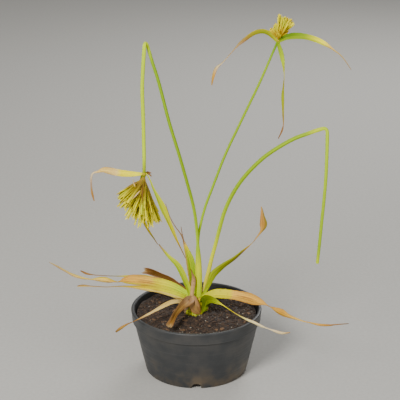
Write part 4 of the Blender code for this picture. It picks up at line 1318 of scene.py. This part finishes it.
# %% Bracts of the top head
top_left = blade("bract_top_left_arch", [
    (87.4, 289.5, 24.8, 3, 10), (81.5, 295.5, 23, 4.2, 12), (76, 299.4, 22, 5, 15),
    (69, 300.4, 20.5, 5, 18), (60.5, 297.6, 19, 4.6, 20), (49, 289, 16.5, 3.4, 25),
    (41.5, 281.5, 15, 1.9, 50), (29, 267.5, 12.5, 1.5, 60), (22, 261, 11, 3.2, 20),
    (19, 254, 10, 3, 15), (16.6, 243, 9, 0.7, 20),
], rows=120)
finished(top_left, plant_finish(
    "bract_top_left_finish",
    [(0.0, LIME), (0.06, paint(176, 178, 20)), (0.18, paint(138, 146, 8)), (0.31, paint(136, 132, 14)),
     (0.39, paint(144, 112, 60, 1.1)), (0.6, paint(190, 162, 132, 1)), (0.78, BONE), (0.9, TAN),
     (1.0, TOAST)],
    across=12, ragged=0.08, flecks=0.2, dry=(0.38, 0.45), midrib=0.1,
    margin=(paint(184, 174, 80), 0.66, 0.88, 0.6),
), "bract_top_left")
top_right = blade("bract_top_right_arch", [
    (87.6, 289.5, 24.4, 3.4, 10), (96, 293.8, 21.8, 5.4, 12), (104.5, 295.4, 21.4, 7, 15),
    (116, 294.8, 20.6, 6.6, 18), (128, 291.6, 20, 6.2, 20), (138, 286.8, 18, 5, 25),
    (148, 280.2, 16, 2.4, 40), (157, 273, 14, 1.6, 50), (166.5, 259.5, 12, 0.7, 50),
], rows=110)
finished(top_right, plant_finish(
    "bract_top_right_finish",
    [(0.0, paint(104, 120, 4)), (0.15, paint(104, 126, 2)), (0.32, paint(142, 160, 4)),
     (0.44, paint(214, 212, 20)), (0.54, paint(254, 240, 50)), (0.64, STRAW),
     (0.82, paint(206, 180, 128, 1.2)), (1.0, MAUVE)],
    across=10, ragged=0.08, flecks=0.1, dry=(0.6, 0.4), midrib=0.1,
    margin=(paint(184, 196, 60), 0.46, 0.62, 0.4),
), "bract_top_right")
top_drooping = blade("bract_top_droop", [
    (88.2, 289.5, 24, 3, 0), (88.8, 285.6, 22.8, 3.8, 0), (91.2, 278, 21.2, 4.6, 5),
    (93, 270, 20.2, 4, 10), (94.2, 262, 19.5, 2.2, 30), (94.8, 253, 19, 1.2, 70),
    (94, 242, 18.6, 1.8, 40), (93.2, 230, 18.4, 3, 20), (93.7, 212, 18.2, 2.2, 40),
    (93.9, 201, 18, 1.2, 60), (92.3, 194, 17.6, 1.8, 20), (88.2, 185.6, 17, 0.7, 20),
], rows=120)
finished(top_drooping, plant_finish(
    "bract_drooping_finish",
    [(0.0, paint(134, 152, 10)), (0.2, paint(184, 198, 20)), (0.33, paint(176, 174, 40)),
     (0.42, paint(144, 138, 36)), (0.55, paint(158, 166, 12)), (0.75, paint(158, 154, 22)),
     (0.86, paint(172, 128, 80, 1.1)), (1.0, BROWN)],
    across=10, ragged=0.06, flecks=0.2, dry=(0.7, 0.5), midrib=0.1,
), "bract_top_drooping")

# %% [markdown]
# ## Spikelets and heads
#
# A head is a tuft of flat spikelets. A spikelet is a thin axis with two rows of overlapping boat-shaped
# scales (glumes), each about four millimetres long. One glume is modelled, copied along one axis as a
# spikelet, and the spikelet is copied into the heads. Copies are turned and sized a little differently.


# %% Model one glume
def glume_pattern():
    """A scale 3.9 mm long, folded along its keel, which stands out along +X, with its tip up +Z."""
    keel = (0.35, 1.2, 1.5, 1.2)
    margin = (0.0, 0.2, 0.5, 1.0)
    widths = (0.4, 0.85, 0.75, 0.28)
    heights = (0.0, 1.3, 2.7, 3.9)

    def place(row, share):
        edge = 2 * share - 1
        out = between((keel[row], margin[row]), abs(edge))
        return Vector((out, widths[row] * edge, heights[row])) * MM

    glume = laid_grid("glume", 3, 2, place)
    apply_modifier(glume, "SOLIDIFY", thickness=0.14 * MM, offset=-1)
    return tidy_mesh(glume, merge=0.000001, angle=40)


glume = glume_pattern()
print("glume:", len(glume.data.polygons), "faces")


# %% Build one spikelet of two rows of glumes
def spikelet_pattern(length, count):
    """Overlapping glumes in two rows up a thin axis along +Z; its UV map runs from base to tip."""
    scales = []
    for number in range(count):
        share = number / (count - 1)
        size = 0.78 + 0.3 * math.sin(math.pi * min(1, 0.3 + share * 0.72))
        copy = copied(glume, "scale")
        copy.matrix_world = (
            Matrix.Translation((0, 0, share * (length - 3.6 * MM)))
            @ Matrix.Rotation(math.pi * (number % 2), 4, "Z")
            @ Matrix.Rotation(0.06, 4, "Y")
            @ Matrix.Diagonal((size, size, 1, 1))
        )
        for corner in copy.data.uv_layers.active.data:
            corner.uv = (corner.uv[0], share * 0.88 + 0.12 * corner.uv[1])
        scales.append(copy)
    return applied(joined("spikelet", scales))


spikelet_long = spikelet_pattern(25 * MM, 21)
spikelet_short = spikelet_pattern(15.5 * MM, 13)
bpy.data.objects.remove(glume)
print("spikelets:", len(spikelet_long.data.polygons), "and", len(spikelet_short.data.polygons), "faces")


# %% Turn, hang and mark a spikelet
def leaning(turn, spread, lean, around, sense):
    """The direction at a spread from straight up, or straight down, then leaned towards around."""
    upright = Vector((
        math.sin(spread) * math.cos(turn), math.sin(spread) * math.sin(turn), math.cos(spread) * sense
    ))
    tipped = Matrix.Rotation(math.radians(lean) * sense, 3, "Y") @ upright
    return Matrix.Rotation(math.radians(around), 3, "Z") @ tipped


def facing(direction):
    """The turn that points a spikelet's +Z in a direction."""
    return direction.to_track_quat("Z", "Y").to_matrix().to_4x4()


def ray_to(base, tip):
    """A thin stalk from a head's node to the foot of a spikelet."""
    bpy.ops.object.select_all(action="DESELECT")
    bpy.ops.mesh.primitive_cone_add(
        vertices=5, radius1=0.55 * MM, radius2=0.35 * MM, depth=(tip - base).length
    )
    stalk = bpy.context.object
    stalk.matrix_world = Matrix.Translation((tip + base) / 2) @ facing(tip - base)
    for corner in stalk.data.uv_layers.active.data:
        corner.uv = (0.5, 0.02)
    return stalk


def marked_ripe(thing, value):
    """Notes how ripe a spikelet is, for its colour."""
    ripe = thing.data.attributes.new("ripe", "FLOAT", "POINT")
    ripe.data.foreach_set("value", [value] * len(thing.data.vertices))
    return thing


print("spikelet helpers ready")

# %% Place a spray of spikelets
GOLDEN_ANGLE = 137.5


def spray(pattern, node, rng, count, widest, starts, size=1.0, sense=1, lean=0, around=0, one_sided=0.0,
          thick=1.0, uneven=0.0):
    """Copies of a spikelet on their stalks, from the middle of a spray out to its widest spread.

    starts are how far from the node the middle and the outermost spikelets start, in millimetres, and
    one_sided narrows the spray towards +X, where its outer spikelets also hang further out. size and thick
    scale a spikelet's length and width, and uneven varies its start and length. Turns follow the golden
    angle, so that no two line up.
    """
    base = drawn(node)
    made = []
    for k in range(count):
        share = (k + 0.3) / count
        turn = math.radians(k * GOLDEN_ANGLE)
        narrowed = 1 - one_sided * (1 + math.cos(turn)) / 2
        spread = math.radians(widest * math.sqrt(share)) * narrowed
        start = between(starts, share**1.5 * max(0, 1.9 * narrowed - 0.9))
        start *= rng.uniform(0.86 - uneven, 1.0) * MM
        foot = base + leaning(turn, 0.5 * spread, lean, around, sense) * start
        length = size * rng.uniform(0.92 - uneven, 1.04 + 0.4 * uneven)
        copy = copied(pattern, "copy")
        copy.matrix_world = (
            Matrix.Translation(foot)
            @ facing(leaning(turn, spread + rng.uniform(-0.05, 0.05), lean, around, sense))
            @ Matrix.Rotation(rng.uniform(0, math.pi), 4, "Z")
            @ Matrix.Diagonal((thick * rng.uniform(0.85, 1.1), thick * rng.uniform(0.85, 1.1), length, 1))
        )
        made.append(marked_ripe(copy, rng.uniform(0, 1)))
        made.append(marked_ripe(ray_to(base, foot), 0.4))
    return made


print("spray helper ready")


# %% Build the two heads
def head(name, pattern, node, seed, sprays, sense=1):
    """Joins a head's sprays, each listed as its count, widest spread, starts and other settings."""
    rng = random.Random(seed)
    pieces = []
    for count, widest, starts, settings in sprays:
        pieces += spray(pattern, node, rng, count, widest, starts, sense=sense, **settings)
    return applied(joined(name, pieces))


hanging_head = head("head_hanging", spikelet_long, (-56, 145.5, -21), 3, [
    (76, 63, (33, 6), dict(one_sided=0.58, thick=1.2, uneven=0.12)),
    (38, 54, (20, 3), dict(size=0.95, one_sided=0.56, thick=1.2)),
    (42, 27, (20, 9), dict(lean=32, around=180, thick=1.2, uneven=0.08)),
    (18, 40, (9, 2), dict(size=0.85, one_sided=0.5)),
], sense=-1)
top_head = head("head_top", spikelet_short, (88.2, 292, 25.8), 8, [
    (27, 29, (11, 10), dict(lean=20)),
    (14, 27, (4.5, 3), dict(size=0.9, lean=20)),
    (3, 4, (12.5, 12), dict(lean=1)),
    (7, 15, (3, 2), dict(size=0.78, lean=32, around=180)),
    (6, 11, (3.5, 3), dict(size=0.95, lean=9, around=180)),
    (5, 13, (2, 1.5), dict(size=0.66, lean=50)),
    (5, 15, (2, 1.5), dict(size=0.75, lean=42, around=-95)),
    (6, 15, (3, 2), dict(size=0.8, lean=42, around=95)),
])
bpy.data.objects.remove(spikelet_long)
bpy.data.objects.remove(spikelet_short)
print("heads:", len(hanging_head.data.polygons), "and", len(top_head.data.polygons), "faces")


# %% The spikelet finish
def spikelet_finish(name, base, middle, tip, streak, centre, reach):
    """Colour from base to tip of each spikelet, browner near the head's centre, with reddish streaks."""
    material, tree, shader = new_material(name)
    where = coordinates(tree)
    place = add_node(tree, "ShaderNodeSeparateXYZ", {0: coordinates(tree, "UV")}).outputs["Y"]
    ripe = add_node(tree, "ShaderNodeAttribute", attribute_name="ripe").outputs["Fac"]
    fine = noisy(tree, where, 700.0, detail=3.0)
    broad = noisy(tree, where, 150.0)
    from_centre = add_node(
        tree, "ShaderNodeVectorMath", {0: where, 1: tuple(centre)}, operation="DISTANCE"
    )
    colour = ramped(tree, place, [(0.0, base), (0.35, middle), (0.8, tip), (1.0, BUTTER)])
    inner = mapped(tree, from_centre.outputs["Value"], 0.15 * reach, 0.8 * reach, 0.58, 0.0, smooth=True)
    colour = mixed(tree, inner, colour, streak)
    colour = mixed(tree, mapped(tree, broad, 0.54, 0.7, 0, 0.6), colour, streak)
    old = mapped(tree, ripe, 0.84, 0.95, 0, 0.6)
    colour = mixed(tree, old, colour, streak)
    young = mapped(tree, ripe, 0.12, 0.22, 0.5, 0)
    colour = mixed(tree, young, colour, paint(160, 174, 62))
    tone = mapped(tree, ripe, 0, 0.9, 1.22, 0.9)
    shaded = add_node(tree, "ShaderNodeHueSaturation", {"Color": colour, "Value": tone})
    speck = mapped(tree, fine, 0.58, 0.7, 0, 0.35)
    colour = mixed(tree, speck, shaded.outputs["Color"], paint(160, 116, 50))
    tree.links.new(colour, shader.inputs["Base Color"])
    tree.links.new(mapped(tree, fine, 0.3, 0.7, 0.5, 0.75), shader.inputs["Roughness"])
    shader.inputs["Specular IOR Level"].default_value = 0.22
    raised(tree, shader, fine, 0.3, 0.2 * MM)
    return material


hanging_paint = spikelet_finish(
    "hanging_spikelets", paint(156, 144, 58, 1.15), paint(186, 178, 62, 1.25), paint(230, 226, 116, 1.3),
    paint(128, 94, 46, 1.1), drawn((-56, 134, -21)), 34 * MM,
)
top_paint = spikelet_finish(
    "top_spikelets", paint(212, 194, 84, 1.3), paint(214, 204, 64, 1.5), paint(246, 240, 134, 1.4),
    paint(172, 122, 44, 1.3), drawn((90, 298, 26)), 17 * MM,
)
finished(hanging_head, hanging_paint, "flower_head_hanging")
finished(top_head, top_paint, "flower_head_top")

# %% [markdown]
# Each stem ends in a small knuckle that holds the bracts and the stalks of the spikelets. Three dry, pale
# bracteoles stick out of the hanging head. A thin dark brown strip down its front is painted shade: it
# stands for the shadow line between the head's two sides.


# %% Knuckles
def knuckle(name, node, size):
    """A small swollen joint at the end of a stem."""
    bpy.ops.object.select_all(action="DESELECT")
    bpy.ops.mesh.primitive_uv_sphere_add(segments=20, ring_count=12, radius=1 * MM, location=drawn(node))
    piece = bpy.context.object
    piece.name = name
    bpy.ops.transform.resize(value=size)
    applied(piece)
    middle = drawn(node)
    for vertex in piece.data.vertices:
        arm = vertex.co - middle
        vertex.co = middle + arm * (1 + 0.12 * math.sin(5 * math.atan2(arm.y, arm.x) + arm.z * 900))
    return tidy_mesh(piece, angle=70)


knuckle_finish = plant_finish(
    "knuckle_finish", [(0.0, OLIVE), (0.5, paint(150, 150, 60)), (1.0, TAN)], flecks=0.6
)
hanging_knuckle = knuckle("knuckle_hanging", (-56, 147, -21), (2.3, 2.2, 2.4))
finished(hanging_knuckle, knuckle_finish, "flower_head_hanging")
top_knuckle = knuckle("knuckle_top", (88, 290.5, 25.2), (2.0, 1.9, 2.2))
finished(top_knuckle, knuckle_finish, "flower_head_top")

# %% Bracteoles and the painted shadow line
bracteole_routes = {
    "spike_up": [(-66, 134, -31, 0.9, 0), (-67.3, 137.6, -32, 1.1, 0), (-68, 141.6, -32.5, 0.3, 0)],
    "spike_inner": [(-60.5, 129.6, -36, 0.6, 0), (-64.6, 125, -40, 1.5, 0), (-68.8, 120.4, -43, 0.4, 0)],
    "spike_left": [(-77, 112.6, -24, 0.8, 0), (-81, 113, -24, 1.0, 0), (-85.6, 113.6, -24, 0.3, 0)],
}
spikes = [
    blade(spike, route, rows=20, columns=4, thickness=0.2, pleat=0)
    for spike, route in bracteole_routes.items()
]
finished(joined("bracteoles", spikes), plant_finish(
    "bracteole_finish", [(0.0, STRAW), (0.6, paint(216, 196, 156, 1.1)), (1.0, STRAW)],
    across=5, flecks=0.15,
), "flower_head_hanging")
# Painted shade: this thin dark brown strip down the front of the hanging head stands for the shadow line
# between the head's two sides.
old_bract = blade("old_bract", [
    (-57.4, 141, -26.6, 0.5, 0), (-57.8, 134, -35.4, 1.1, 0), (-58.2, 125, -42.6, 1.2, 0),
    (-58, 119, -46.6, 0.8, 0), (-58.6, 114.5, -49, 0.3, 0),
], rows=50, columns=6, fold=(0.4, 0.6), thickness=0.25, pleat=0)
finished(old_bract, plant_finish(
    "painted_shadow_line_finish", [(0.0, OLIVE), (0.3, paint(112, 84, 44, 1.1)), (1.0, paint(100, 70, 42, 1.1))],
    across=5, midrib=0,
), "flower_head_hanging")

# %% [markdown]
# ## Compare the size
#
# The box of the dressed plant is compared with the imported model's box, and how far each side differs is
# printed in millimetres.

# %% Print how far the two boxes differ
dressed_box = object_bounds()
grow = [[round((b - a) * 1000, 1) for a, b in zip(near, far)] for near, far in zip(cad_box, dressed_box)]
print("the dressed box differs by, in mm:", grow)
